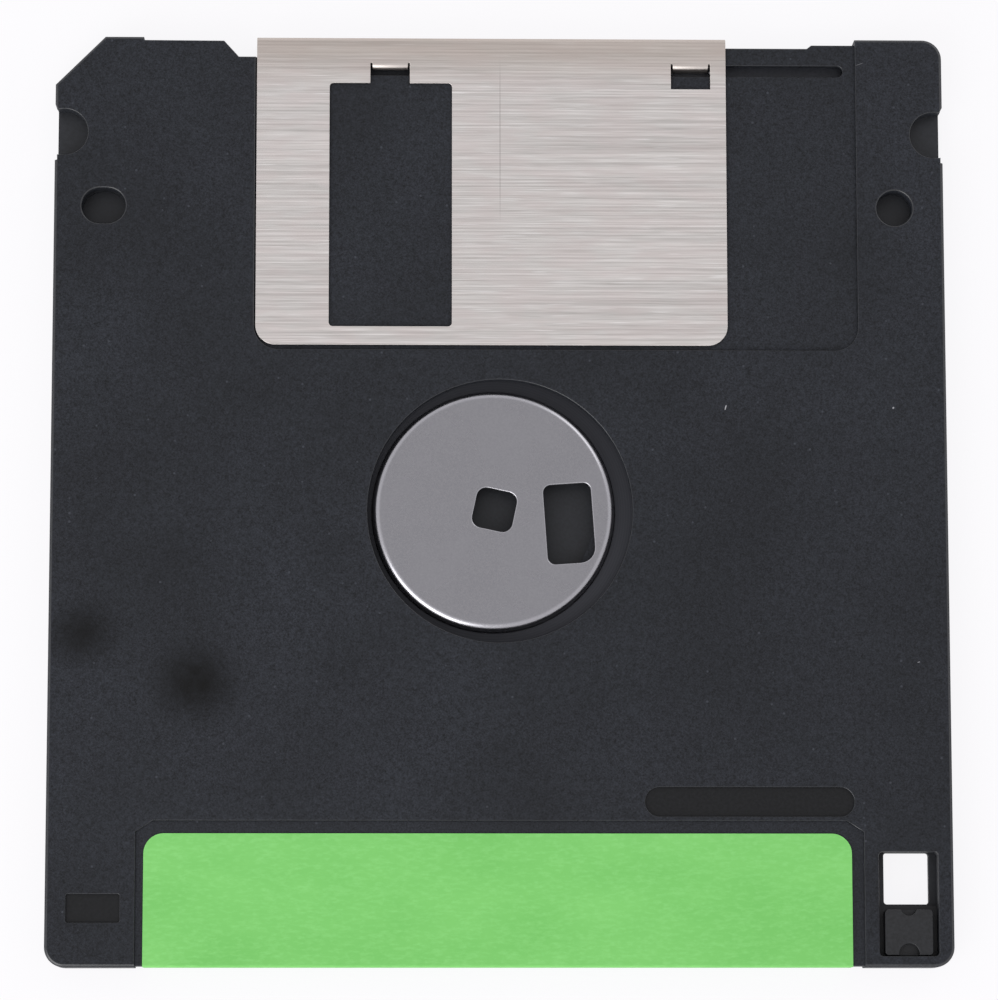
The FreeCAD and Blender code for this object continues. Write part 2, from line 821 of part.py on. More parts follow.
def build_slider_channel(shell):
    """Cut the channel in which the write-protect slider runs and the hole that it covers."""
    width = cell("channel_width")
    channel = shell.sketch("slider_channel", parting)
    draw_box(channel, slider_x - width / 2, channel_rear, width, cell("channel_length"))
    shell.cut_inside("slider_channel_cut", channel, cavity_half)
    hole = shell.sketch("protect_hole", parting)
    width = cell("slider_hole_width")
    length = cell("slider_travel") - cell("slider_hole_margin")
    draw_box(hole, slider_x - width / 2, channel_front - cell("well_margin") - length, width, length,
             cell("slider_hole_corner"))
    shell.cut_half("protect_hole_cut", hole)


def build_arrow(shell):
    """Sink the small arrow that shows which end goes in first."""
    x = -half_width + cell("arrow_from_side")
    y = front - cell("arrow_from_front")
    half = cell("arrow_width") / 2
    arrow = shell.sketch("arrow", 0)
    draw_outline(arrow, [(x - half, y), (x + half, y), (x, y + cell("arrow_length"))])
    shell.cut_face("arrow_cut", arrow, cell("arrow_depth"))


def build_shutter():
    """Fold the sheet over the front edge, open its windows and bend its two tabs in."""
    body = new_body("shutter")
    gauge = cell("sheet")
    top, low = shutter_top, cell("shutter_sink")
    fold = cell("shutter_fold")
    profile = new_sketch(body, "folded_sheet", shutter_left, "YZ_Plane")
    draw_outline(profile, [
        (shutter_rear, low), (front, low, fold), (front, top, fold), (shutter_rear, top),
        (shutter_rear, top - gauge), (front - gauge, top - gauge, fold - gauge),
        (front - gauge, low + gauge, fold - gauge), (shutter_rear, low + gauge),
    ])
    pad(body, "sheet_body", profile, shutter_right - shutter_left)

    def at_rear_corner(edge):
        box = edge.BoundBox
        return box.YMax < shutter_rear.value + 1e-3 and box.XLength < 1e-3 and box.ZLength > 1e-3

    dress(body, "Fillet", "rear_corners", at_rear_corner, "Radius", cell("shutter_corner"))
    window = new_sketch(body, "window", top)
    draw_box(window, window_left, window_rear, cell("head_window_width") + cell("window_extra_width"),
             window_front - window_rear, cell("window_corner"))
    pocket(body, "window_cut", window, top)
    groove_floor = recess_floor - cell("groove_depth")
    bend_tab(body, "guide_tab", guide_tab_left, window_front - cell("window_corner") / 2,
             groove_floor + cell("tab_floor_gap"))
    bend_tab(body, "spring_tab", spring_tab_left, bend_y - cell("spring_tab_window"),
             parting - cell("spring_wire") / 2)
    return body


def bend_tab(body, name, left, low, foot):
    """Notch the top leg and hang a tab from the notch's front edge down to its foot."""
    gauge = cell("sheet")
    nick = cell("tab_nick")
    right = left + cell("tab_width")
    nick_y = bend_y + cell("tab_nick_length")
    notch = new_sketch(body, name + "_notch", shutter_top)
    draw_outline(notch, [
        (left - nick, low), (right + nick, low), (right + nick, nick_y), (right, nick_y), (right, bend_y),
        (left, bend_y), (left, nick_y), (left - nick, nick_y),
    ])
    pocket(body, name + "_cut", notch, gauge)
    leg = new_sketch(body, name + "_leg", shutter_top)
    draw_box(leg, left, bend_y, cell("tab_width"), gauge)
    pad(body, name, leg, shutter_top - foot, down=True)
    inner = cell("tab_bend")

    def bend_edge(y, z):
        def chosen(edge):
            box = edge.BoundBox
            level = abs(box.ZMin - z.value) < 1e-3 and abs(box.ZMax - z.value) < 1e-3
            across = abs(box.YMin - y.value) < 1e-3 and abs(box.YMax - y.value) < 1e-3
            return level and across and box.XMin > left.value - 1e-3 and box.XMax < right.value + 1e-3
        return chosen

    dress(body, "Fillet", name + "_inner_bend", bend_edge(bend_y + gauge, shutter_top - gauge), "Radius", inner)
    dress(body, "Fillet", name + "_outer_bend", bend_edge(bend_y, shutter_top), "Radius", inner + gauge)


def build_shutter_spring():
    """Bend the V-shaped wire that reaches from the shell's corner to the shutter's inner tab."""
    wire_radius = cell("spring_wire").value / 2
    bend = cell("spring_bend").value
    level = parting.value
    start_x = spring_tab_right.value + wire_radius + cell("spring_seat_gap").value
    shutter_end = FreeCAD.Vector(start_x, (bend_y + cell("sheet") / 2).value, level)
    anchor_x = half_width - cell("spring_anchor_from_side")
    anchor_y = front - cell("spring_anchor_from_front")
    case_end = FreeCAD.Vector(anchor_x.value, anchor_y.value, level)
    middle = (shutter_end + case_end) / 2
    across = (case_end - shutter_end).normalize()
    inwards = FreeCAD.Vector(across.y, -across.x, 0)
    half_span = (case_end - shutter_end).Length / 2
    leg = max(cell("spring_leg").value, half_span + bend)
    apex = middle + inwards * math.sqrt(leg ** 2 - half_span ** 2)
    back = (shutter_end - apex).normalize()
    ahead = (case_end - apex).normalize()
    half_angle = back.getAngle(ahead) / 2
    reach = bend / math.tan(half_angle)
    centre = apex + (back + ahead).normalize() * (bend / math.sin(half_angle))
    first, last = apex + back * reach, apex + ahead * reach
    lowest = centre + (apex - centre).normalize() * bend
    path = Part.Wire([
        Part.LineSegment(shutter_end, first).toShape(),
        Part.Arc(first, lowest, last).toShape(),
        Part.LineSegment(last, case_end).toShape(),
    ])
    section = Part.Wire(Part.Circle(shutter_end, first - shutter_end, wire_radius).toShape())
    spring = doc.addObject("Part::Feature", "shutter_spring")
    spring.Label = "shutter_spring"
    spring.Shape = path.makePipeShell([section], True, False)
    spring.Placement = FreeCAD.Placement()
    return spring


def disc_body(label):
    """Add a body whose origin is the spindle axis, a little off the hub opening's centre."""
    body = new_body(label)
    bind(body, "Placement.Base.x", -cell("disc_offset"))
    bind(body, "Placement.Base.y", hub_y)
    return body


def build_ring(body, name, level, height, outer, inner):
    """Pad a flat ring round the body's own axis."""
    ring = new_sketch(body, name, level)
    draw_circle(ring, 0, 0, outer)
    draw_circle(ring, 0, 0, inner)
    pad(body, name + "_pad", ring, height)


def build_magnetic_disc():
    """Punch the coated film."""
    body = disc_body("magnetic_disc")
    build_ring(body, "film", media_low, cell("media_thickness"), media_radius, media_bore)
    return body


def build_hub_adhesive_ring():
    """Lay the glue ring between the film and the hub's flange."""
    body = disc_body("hub_adhesive_ring")
    margin = cell("adhesive_margin")
    build_ring(body, "glue", flange_top, cell("adhesive_thickness"), flange_radius - margin,
               media_bore + margin)
    return body


def build_hub():
    """Draw the dished hub from sheet steel and pierce its spindle hole and drive slot."""
    body = disc_body("hub")
    gauge = cell("hub_sheet")
    rounding = cell("hub_edge_round")
    facet = rounding * 0.3
    section = new_sketch(body, "section", 0, "XZ_Plane")
    draw_outline(section, [
        (0, hub_top), (hub_radius - rounding, hub_top), (hub_radius - facet, hub_top - facet),
        (hub_radius, hub_top - rounding), (hub_radius, flange_top), (flange_radius, flange_top),
        (flange_radius, flange_top - gauge), (hub_radius - gauge, flange_top - gauge),
        (hub_radius - gauge, hub_top - gauge), (0, hub_top - gauge),
    ])
    turned = body.newObject("PartDesign::Revolution", "dish")
    turned.Profile = section
    turned.ReferenceAxis = (section, ["V_Axis"])
    turned.Angle = 360.0
    doc.recompute()
    side = cell("spindle_hole")
    square = new_sketch(body, "spindle_square", hub_top)
    bind(square, "AttachmentOffset.Base.x", cell("spindle_aside"))
    bind(square, "AttachmentOffset.Base.y", cell("spindle_aside"))
    bind(square, "AttachmentOffset.Rotation.Angle", -cell("hub_twist"))
    draw_box(square, -side / 2, -side / 2, side, side, cell("spindle_corner"))
    pocket(body, "spindle_hole_cut", square, gauge)
    slot = new_sketch(body, "drive_slot", hub_top)
    bind(slot, "AttachmentOffset.Base.x", cell("drive_slot_from_hub"))
    bind(slot, "AttachmentOffset.Base.y", -cell("drive_slot_side"))
    bind(slot, "AttachmentOffset.Rotation.Angle", cell("drive_slot_twist"))
    half_slot = cell("drive_slot_width") / 2
    half_length = cell("drive_slot_length") / 2
    corner = cell("drive_slot_corner")
    draw_outline(slot, [
        (-half_slot, -half_length, corner), (half_slot, -half_length, corner * 2),
        (half_slot, half_length, corner), (-half_slot, half_length, corner),
    ])
    pocket(body, "drive_slot_cut", slot, gauge)
    return body


def build_liner(label, level, inner):
    """Cut a non-woven ring with its slot for the heads."""
    body = new_body(label)
    bind(body, "Placement.Base.y", hub_y)
    build_ring(body, "fleece", level, cell("liner_thickness"), liner_outer, inner)
    slot = new_sketch(body, "head_slot", level + cell("liner_thickness"))
    half = cell("head_window_width") / 2 + cell("liner_slot_margin")
    start = cell("head_window_inner") - cell("liner_slot_inner_margin")
    draw_box(slot, -half, start, half * 2, liner_outer - start + cell("overcut"))
    pocket(body, "head_slot_cut", slot, cell("liner_thickness"))
    return body


def build_lifter_leaf():
    """Bend the leaf that is glued in its pocket and lifts the liner with its free end."""
    body = new_body("lifter_leaf")
    left, low_y = leaf_corner()
    bind(body, "Placement.Base.x", left)
    bind(body, "Placement.Base.y", low_y + cell("leaf_width"))
    low = floor_low - cell("leaf_pocket")
    gauge = cell("leaf_thickness")
    glued = cell("leaf_glued")
    length = cell("leaf_length")
    profile = new_sketch(body, "bent_leaf", 0, "XZ_Plane")
    draw_outline(profile, [
        (0, low), (glued, low), (length, floor_low - gauge), (length, floor_low),
        (glued, low + gauge), (0, low + gauge),
    ])
    pad(body, "leaf", profile, cell("leaf_width"))
    return body


def build_write_protect_tab():
    """Mould the slider: a wide base captive in the channel and a grip that shows in the well."""
    body = new_body("write_protect_tab")
    bind(body, "Placement.Base.x", slider_x)
    bind(body, "Placement.Base.y", channel_rear + cell("slider_play"))
    low = floor_low + cell("slider_lift")
    half_base = cell("channel_width") / 2 - cell("slider_side_play")
    base_length = (cell("channel_length") - cell("slider_travel") - cell("slider_play")
                   - cell("slider_stop_play"))
    base = new_sketch(body, "base", low)
    draw_box(base, -half_base, 0, half_base * 2, base_length)
    pad(body, "base_pad", base, parting - cell("slider_play") - low)
    half_grip = cell("slider_grip_width") / 2
    grip_rear = cell("slider_play")
    grip_length = base_length - cell("slider_grip_front") - grip_rear
    grip_top = thickness - cell("slider_grip_drop")
    grip = new_sketch(body, "grip", low)
    draw_box(grip, -half_grip, grip_rear, half_grip * 2, grip_length, cell("slider_grip_corner"))
    pad(body, "grip_pad", grip, grip_top - low)
    notch = new_sketch(body, "nail_notch", grip_top)
    draw_circle(notch, 0, grip_rear + grip_length + cell("nail_notch_offset"), cell("nail_notch_radius"))
    pocket(body, "nail_notch_cut", notch, cell("nail_depth"))
    pit = new_sketch(body, "nail_pit", grip_top)
    draw_circle(pit, 0, grip_rear + cell("nail_pit_offset"), cell("nail_pit_radius"))
    pocket(body, "nail_pit_cut", pit, cell("nail_depth"))
    return body


def build_paper_label():
    """Fold the label round the rear edge, face to face with both recesses."""
    body = new_body("paper_label")
    paper = cell("label_paper")
    fold = cell("label_fold")
    top, low = thickness - cell("label_recess_depth"), cell("label_recess_depth")
    edge_y = rear + cell("label_recess_edge")
    back_y = rear + cell("label_recess_back") - cell("label_gap_back")
    front_y = recess_rear - cell("label_recess_from_shutter") - cell("label_gap_front")
    profile = new_sketch(body, "folded_paper", label_left, "YZ_Plane")
    draw_outline(profile, [
        (back_y, top + paper), (edge_y - paper, top + paper, fold), (edge_y - paper, low - paper, fold),
        (front_y, low - paper), (front_y, low), (edge_y, low), (edge_y, top), (back_y, top),
    ])
    pad(body, "paper_body", profile, label_recess_half - cell("label_gap_right") - label_left)

    def at_label_corner(edge):
        box = edge.BoundBox
        return box.YMin > edge_y.value + fold.value and box.XLength < 1e-3 and box.YLength < 1e-3

    dress(body, "Fillet", "label_corners", at_label_corner, "Radius", cell("label_corner"))
    return body


def check_state(item):
    """Stop if an object of the document failed to compute."""
    if "Invalid" in item.State or "Error" in item.State:
        raise RuntimeError("%s is in state %s" % (item.Label, item.State))


def check_solid(node):
    """Stop if a piece is not one sound solid."""
    shape = node.Shape
    if shape.isNull() or not shape.isValid() or len(shape.Solids) != 1:
        raise RuntimeError("%s is not one sound solid" % node.Label)


nodes = [
    build_hub_side_shell(),
    build_label_side_shell(),
    build_shutter(),
    build_shutter_spring(),
    build_magnetic_disc(),
    build_hub(),
    build_hub_adhesive_ring(),
    build_liner("hub_side_liner", floor_high - cell("liner_thickness"), flange_radius + cell("liner_hub_gap")),
    build_liner("label_side_liner", floor_low, flange_radius + cell("liner_flange_gap")),
    build_lifter_leaf(),
    build_write_protect_tab(),
    build_paper_label(),
]
doc.recompute()
for item in doc.Objects:
    check_state(item)
for node in nodes:
    check_solid(node)
os.makedirs("parts", exist_ok=True)
for node in nodes:
    node.Shape.exportStep(os.path.join("parts", node.Label + ".step"))
    box = node.Shape.BoundBox
    print("%-18s volume %9.2f mm3  x %.2f..%.2f  y %.2f..%.2f  z %.2f..%.2f" % (
        node.Label, node.Shape.Volume, box.XMin, box.XMax, box.YMin, box.YMax, box.ZMin, box.ZMax))
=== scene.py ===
"""Looks of a 3.5 inch floppy disk with a metal shutter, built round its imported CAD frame.

Everything is in metres in the CAD frame: x runs across the disk, y towards the shutter end and
z up out of the hub side. Sizes of pieces are given in millimetres and turned to metres by mm().
"""

import json
import logging
import math
from dataclasses import dataclass, field
from enum import Enum
from typing import Callable, Iterable

import bmesh
import bpy
from mathutils import Matrix, Vector

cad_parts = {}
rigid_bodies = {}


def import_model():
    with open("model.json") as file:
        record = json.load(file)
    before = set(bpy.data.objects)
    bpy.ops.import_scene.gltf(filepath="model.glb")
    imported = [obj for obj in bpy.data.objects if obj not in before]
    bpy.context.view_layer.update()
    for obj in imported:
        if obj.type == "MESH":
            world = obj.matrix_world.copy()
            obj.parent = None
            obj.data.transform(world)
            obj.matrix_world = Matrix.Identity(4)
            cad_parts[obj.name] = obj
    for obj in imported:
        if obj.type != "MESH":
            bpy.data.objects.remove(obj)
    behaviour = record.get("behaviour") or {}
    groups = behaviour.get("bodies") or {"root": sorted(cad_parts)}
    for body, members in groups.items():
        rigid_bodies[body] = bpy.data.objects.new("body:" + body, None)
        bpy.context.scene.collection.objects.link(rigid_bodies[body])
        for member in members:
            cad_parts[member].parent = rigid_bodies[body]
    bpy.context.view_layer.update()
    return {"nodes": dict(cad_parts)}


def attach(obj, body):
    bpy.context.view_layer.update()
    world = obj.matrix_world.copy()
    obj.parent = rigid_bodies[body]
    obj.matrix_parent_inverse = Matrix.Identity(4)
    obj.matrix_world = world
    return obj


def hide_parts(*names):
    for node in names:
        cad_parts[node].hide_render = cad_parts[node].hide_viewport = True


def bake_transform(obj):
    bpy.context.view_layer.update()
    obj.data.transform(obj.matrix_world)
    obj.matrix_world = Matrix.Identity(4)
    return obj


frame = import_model()

log = logging.getLogger("floppy_disk")

Tree = bpy.types.NodeTree
Node = bpy.types.Node
Socket = bpy.types.NodeSocket
Chooser = Callable[[bmesh.types.BMEdge], bool]

SHARP = math.radians(60)
"""Edges that turn by more than this are sharp ones."""
SAME_HEIGHT = 1e-6
"""Heights that differ by less than this, in metres, are the same."""
SAME_PLACE = 1e-5
"""Places that differ by less than this, in metres, are the same."""


class Body(Enum):
    """The CAD bodies that pieces ride on."""

    CASE = "case"
    SHUTTER = "shutter"
    DISC = "disc"
    SLIDER = "slider"


def mm(value: float) -> float:
    """Return millimetres as metres."""
    return value * 0.001


def per_mm(period: float) -> float:
    """Return the texture scale of a pattern that repeats every so many millimetres."""
    return 1.0 / mm(period)


def colour(code: str) -> tuple[float, float, float, float]:
    """Turn an sRGB hex colour to linear.

    Args:
        code: The colour as six hex digits after a hash.

    Returns:
        Linear red, green and blue, and an alpha of one.
    """
    parts = [int(code[i:i + 2], 16) / 255.0 for i in (1, 3, 5)]
    red, green, blue = (c / 12.92 if c <= 0.04045 else ((c + 0.055) / 1.055) ** 2.4 for c in parts)
    return (red, green, blue, 1.0)


def add_node(tree: Tree, kind: str, inputs: dict | None = None, **settings) -> Node:
    """Add a node with its settings and links.

    Args:
        tree: The node tree that gets the node.
        kind: The node's type name.
        inputs: Socket names or numbers, each with a value or with the output socket that feeds it.
        settings: Properties of the node.

    Returns:
        The new node.
    """
    node = tree.nodes.new(kind)
    for name, value in settings.items():
        setattr(node, name, value)
    for key, value in (inputs or {}).items():
        if isinstance(value, Socket):
            tree.links.new(value, node.inputs[key])
        else:
            node.inputs[key].default_value = value
    return node


def deselect() -> None:
    """Leave nothing selected, so that the next operator meets only its own piece."""
    if bpy.context.object and bpy.context.object.mode != "OBJECT":
        bpy.ops.object.mode_set(mode="OBJECT")
    bpy.ops.object.select_all(action="DESELECT")


def pick(piece: bpy.types.Object) -> None:
    """Make one piece the only selected and the active one."""
    deselect()
    piece.select_set(True)
    bpy.context.view_layer.objects.active = piece


def choose_edges(piece: bpy.types.Object, chosen: Chooser) -> int:
    """Open a piece in edit mode with only the chosen edges selected.

    Args:
        piece: The mesh piece.
        chosen: Says of each edge whether it is selected.

    Returns:
        How many edges were chosen.
    """
    pick(piece)
    bpy.ops.object.mode_set(mode="EDIT")
    bpy.ops.mesh.select_mode(type="EDGE")
    bpy.ops.mesh.select_all(action="DESELECT")
    work = bmesh.from_edit_mesh(piece.data)
    picked = [edge for edge in work.edges if chosen(edge)]
    for edge in picked:
        edge.select_set(True)
    work.select_flush_mode()
    bmesh.update_edit_mesh(piece.data)
    return len(picked)


def choose_faces(piece: bpy.types.Object, chosen: Callable[[bmesh.types.BMFace], bool]) -> None:
    """Open a piece in edit mode with only the chosen faces selected."""
    pick(piece)
    bpy.ops.object.mode_set(mode="EDIT")
    bpy.ops.mesh.select_mode(type="FACE")
    bpy.ops.mesh.select_all(action="DESELECT")
    work = bmesh.from_edit_mesh(piece.data)
    for face in work.faces:
        face.select_set(chosen(face))
    bmesh.update_edit_mesh(piece.data)


def is_sharp(edge: bmesh.types.BMEdge) -> bool:
    """Say whether an edge sticks out between two faces that meet at a sharp angle."""
    return len(edge.link_faces) == 2 and edge.is_convex and edge.calc_face_angle(0.0) > SHARP


def bevel(piece: bpy.types.Object, chosen: Chooser, width: float, segments: int) -> None:
    """Round the chosen edges.

    Args:
        piece: The mesh piece.
        chosen: Says of each edge whether it is rounded.
        width: The rounding's width in millimetres.
        segments: How many facets make the rounding.
    """
    count = choose_edges(piece, chosen)
    if count:
        bpy.ops.mesh.bevel(offset=mm(width), segments=segments, affect="EDGES", clamp_overlap=False,
                           loop_slide=False)
    bpy.ops.object.mode_set(mode="OBJECT")


def add_modifier(piece: bpy.types.Object, kind: str, **settings) -> None:
    """Put a modifier on a piece and apply it."""
    pick(piece)
    modifier = piece.modifiers.new(kind.lower(), kind)
    for name, value in settings.items():
        setattr(modifier, name, value)
    bpy.ops.object.modifier_apply(modifier=modifier.name)


def shade(piece: bpy.types.Object, angle: float = 50.0) -> None:
    """Smooth the roundings and keep the large faces flat.

    Args:
        piece: The mesh piece.
        angle: Edges that turn by more than these degrees stay sharp.
    """
    pick(piece)
    bpy.ops.object.shade_smooth_by_angle(angle=math.radians(angle), keep_sharp_edges=False)
    add_modifier(piece, "WEIGHTED_NORMAL", keep_sharp=True, weight=100)


def settle(piece: bpy.types.Object) -> None:
    """Move a piece's place into its mesh, so that its object sits at the origin."""
    pick(piece)
    bpy.ops.object.transform_apply(location=True, rotation=True, scale=True)


def copy_node(node: str, name: str) -> bpy.types.Object:
    """Copy a CAD node's mesh as one closed surface whose flat faces are whole.

    Args:
        node: The CAD node.
        name: The new piece's name.

    Returns:
        The new piece, linked to the scene and free of any body.
    """
    source = frame["nodes"][node]
    piece = bpy.data.objects.new(name, source.data.copy())
    piece.data.name = name
    piece.data.materials.clear()
    bpy.context.scene.collection.objects.link(piece)
    pick(piece)
    bpy.ops.object.mode_set(mode="EDIT")
    bpy.ops.mesh.select_all(action="SELECT")
    bpy.ops.mesh.customdata_custom_splitnormals_clear()
    bpy.ops.mesh.remove_doubles(threshold=mm(0.002))
    bpy.ops.mesh.dissolve_limited(angle_limit=math.radians(0.3))
    bpy.ops.object.mode_set(mode="OBJECT")
    return piece


def hand_over(piece: bpy.types.Object, body: Body | None, finish: "Finish",
              replaced: Iterable[str] = ()) -> None:
    """Give a finished piece its material, its body and the CAD nodes that it stands for.

    Args:
        piece: The finished piece.
        body: The CAD body that it rides on, or None to attach it to no body.
        finish: What it is made of.
        replaced: CAD nodes that it stands for.
    """
    piece.data.materials.clear()
    piece.data.materials.append(finish.material())
    if piece.parent is None and body is not None:
        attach(piece, body.value)
    names = list(replaced)
    if names:
        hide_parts(*names)
    log.info("%s: %d faces, %s", piece.name, len(piece.data.polygons), finish.label)


def dress_node(node: str, finish: "Finish") -> None:
    """Give a CAD node that stays its material."""
    piece = frame["nodes"][node]
    piece.data.materials.clear()
    piece.data.materials.append(finish.material())
    log.info("%s: CAD node, %s", node, finish.label)


@dataclass(frozen=True)
class Finish:
    """What a surface is made of and how it was made."""

    label: str

    def material(self) -> bpy.types.Material:
        """Return this finish's material, which is built once."""
        material = bpy.data.materials.get(self.label)
        if material is None:
            material = bpy.data.materials.new(self.label)
            material.use_nodes = True
            tree = material.node_tree
            tree.nodes.clear()
            shader = add_node(tree, "ShaderNodeBsdfPrincipled")
            add_node(tree, "ShaderNodeOutputMaterial", {"Surface": shader.outputs[0]})
            place = add_node(tree, "ShaderNodeTexCoord").outputs["Object"]
            self.paint(tree, shader, place)
        return material

    def paint(self, tree: Tree, shader: Node, place: Socket) -> None:
        """Set the shader; each finish has its own way.

        Args:
            tree: The material's tree.
            shader: The shader that gets the look.
            place: Object coordinates.
        """
        raise NotImplementedError


def grain(tree: Tree, place: Socket, period: float, stretch: tuple = (1, 1, 1),
          detail: float = 2.0) -> Socket:
    """Return noise of a real size, drawn out along an axis where stretch says so.

    Args:
        tree: The material's tree.
        place: Object coordinates.
        period: The size of the grain in millimetres.
        stretch: How many times longer the grain is along x, y and z.
        detail: How many finer layers the noise has.

    Returns:
        The noise, from zero to one.
    """
    mapped = add_node(tree, "ShaderNodeMapping", {"Vector": place, "Scale": [1.0 / s for s in stretch]})
    noise = add_node(tree, "ShaderNodeTexNoise",
                     {"Vector": mapped.outputs[0], "Scale": per_mm(period), "Detail": detail, "Roughness": 0.55})
    return noise.outputs["Fac"]


def spread(tree: Tree, value: Socket, low: float, high: float, to_low: float = 0.0,
           to_high: float = 1.0) -> Socket:
    """Return a value with its range from low to high spread over another range, held at both ends."""
    return add_node(tree, "ShaderNodeMapRange", {
        "Value": value, "From Min": low, "From Max": high, "To Min": to_low, "To Max": to_high,
    }).outputs[0]


def blend_colour(tree: Tree, factor: Socket, first: Socket | tuple, second: Socket | tuple) -> Socket:
    """Return a mix of two colours or colour sockets by a factor."""
    return add_node(tree, "ShaderNodeMix", {0: factor, 6: first, 7: second}, data_type="RGBA").outputs[2]


def arithmetic(tree: Tree, operation: str, first: Socket, second: Socket | float = 0.0) -> Socket:
    """Return the result of one sum on two values or sockets."""
    return add_node(tree, "ShaderNodeMath", {0: first, 1: second}, operation=operation).outputs[0]


def weigh(tree: Tree, *layers: tuple[Socket, float]) -> Socket:
    """Return the sum of several values, each times its weight."""
    parts = [arithmetic(tree, "MULTIPLY", value, weight) for value, weight in layers]
    total = parts[0]
    for part in parts[1:]:
        total = arithmetic(tree, "ADD", total, part)
    return total


def emboss(tree: Tree, shader: Node, height: Socket, depth: float, strength: float) -> None:
    """Give the surface a fine relief.

    Args:
        tree: The material's tree.
        shader: The shader that gets the relief.
        height: What stands proud.
        depth: How deep the relief is in millimetres.
        strength: How strongly it shows.
    """
    bump = add_node(tree, "ShaderNodeBump", {"Height": height, "Distance": mm(depth), "Strength": strength})
    tree.links.new(bump.outputs[0], shader.inputs["Normal"])


@dataclass(frozen=True)
class Mark:
    """A soft mark or a hair on a surface: its centre, half length, half width in mm, turn and strength."""

    x: float
    y: float
    length: float
    width: float
    turn: float = 0.0
    strength: float = 1.0

    def mask(self, tree: Tree, place: Socket, sharp: bool) -> Socket:
        """Return a mask that is the mark's strength at its middle and nothing outside it.

        Args:
            tree: The material's tree.
            place: Object coordinates.
            sharp: Whether the mark has a plain edge, as a hair does, or fades out, as a soft patch does.
        """
        mapped = add_node(tree, "ShaderNodeMapping", {
            "Vector": place, "Location": (mm(self.x), mm(self.y), 0.0),
            "Rotation": (0.0, 0.0, math.radians(self.turn)),
            "Scale": (mm(self.length), mm(self.width), 1.0),
        }, vector_type="TEXTURE")
        flat = add_node(tree, "ShaderNodeVectorMath", {0: mapped.outputs[0], 1: (1.0, 1.0, 0.0)},
                        operation="MULTIPLY")
        reach = add_node(tree, "ShaderNodeVectorMath", {0: flat.outputs[0]},
                         operation="LENGTH").outputs["Value"]
        edge = 0.7 if sharp else 0.0
        return add_node(tree, "ShaderNodeMapRange", {
            "Value": reach, "From Min": edge, "From Max": 1.0, "To Min": self.strength, "To Max": 0.0,
        }, interpolation_type="SMOOTHSTEP").outputs[0]


def cover(tree: Tree, place: Socket, marks: tuple, sharp: bool) -> Socket:
    """Return one mask for several marks, which is the strongest of them at each place."""
    mask = marks[0].mask(tree, place, sharp)
    for mark in marks[1:]:
        mask = arithmetic(tree, "MAXIMUM", mask, mark.mask(tree, place, sharp))
    return mask


@dataclass(frozen=True)
class CasePlastic(Finish):
    """ABS, injection-moulded in a spark-eroded mould: matt and finely speckled, with soft grey light."""

    base: str = "#0b0c0e"
    light: str = "#33363d"
    glint: str = "#43464d"
    # The colour that the soft dark patches go towards.
    patch_tone: str = "#000000"
    lint: str = "#b9b9bd"
    speckle: float = 0.17
    clump: float = 2.6
    cloud: float = 16.0
    glint_spacing: float = 1.3
    dark_patches: tuple = ()
    hairs: tuple = ()

    def paint(self, tree: Tree, shader: Node, place: Socket) -> None:
        """Mix two near blacks by the mould's grain, and lay the soft dark patches and hairs over them."""
        # The real grain is about 0.05 mm; it is drawn coarser so that it shows in the render.
        fine = grain(tree, place, self.speckle, detail=2.0)
        clumps = grain(tree, place, self.speckle * self.clump, detail=2.0)
        broad = grain(tree, place, self.cloud, detail=2.0)
        speckled = weigh(tree, (spread(tree, fine, 0.25, 0.75), 0.75), (spread(tree, clumps, 0.3, 0.7), 0.25))
        tone = blend_colour(tree, speckled, colour(self.base), colour(self.light))
        cloudy = blend_colour(tree, spread(tree, broad, 0.3, 0.7, 0.0, 0.35), tone, colour(self.base))
        # A few proud grains catch the light as pin points.
        pins = add_node(tree, "ShaderNodeTexVoronoi", {"Vector": place, "Scale": per_mm(self.glint_spacing)},
                        feature="F1")
        point = spread(tree, pins.outputs["Distance"], 0.06, 0.12, 0.6, 0.0)
        chance = add_node(tree, "ShaderNodeSeparateColor", {0: pins.outputs["Color"]}).outputs[0]
        shown = arithmetic(tree, "MULTIPLY", point, spread(tree, chance, 0.72, 0.74))
        cloudy = blend_colour(tree, shown, cloudy, colour(self.glint))
        relief = fine
        rough = spread(tree, broad, 0.3, 0.7, 0.5, 0.58)
        if self.dark_patches:
            # The soft patches are darker and a little smoother, and they flatten the grain's relief.
            ridges = spread(tree, grain(tree, place, 1.1, detail=4.0), 0.3, 0.6, 0.75, 1.0)
            uneven = arithmetic(tree, "MULTIPLY", cover(tree, place, self.dark_patches, False), ridges)
            cloudy = blend_colour(tree, uneven, cloudy, colour(self.patch_tone))
            rough = arithmetic(tree, "SUBTRACT", rough, arithmetic(tree, "MULTIPLY", uneven, 0.06))
            relief = arithmetic(tree, "MULTIPLY", fine, spread(tree, uneven, 0.0, 1.0, 1.0, 0.4))
        if self.hairs:
            # Lint that lies on the plastic shows as pale flecks.
            cloudy = blend_colour(tree, cover(tree, place, self.hairs, True), cloudy, colour(self.lint))
        tree.links.new(cloudy, shader.inputs["Base Color"])
        tree.links.new(rough, shader.inputs["Roughness"])
        shader.inputs["IOR"].default_value = 1.54
        shader.inputs["Specular IOR Level"].default_value = 0.2
        emboss(tree, shader, relief, 0.04, 0.8)


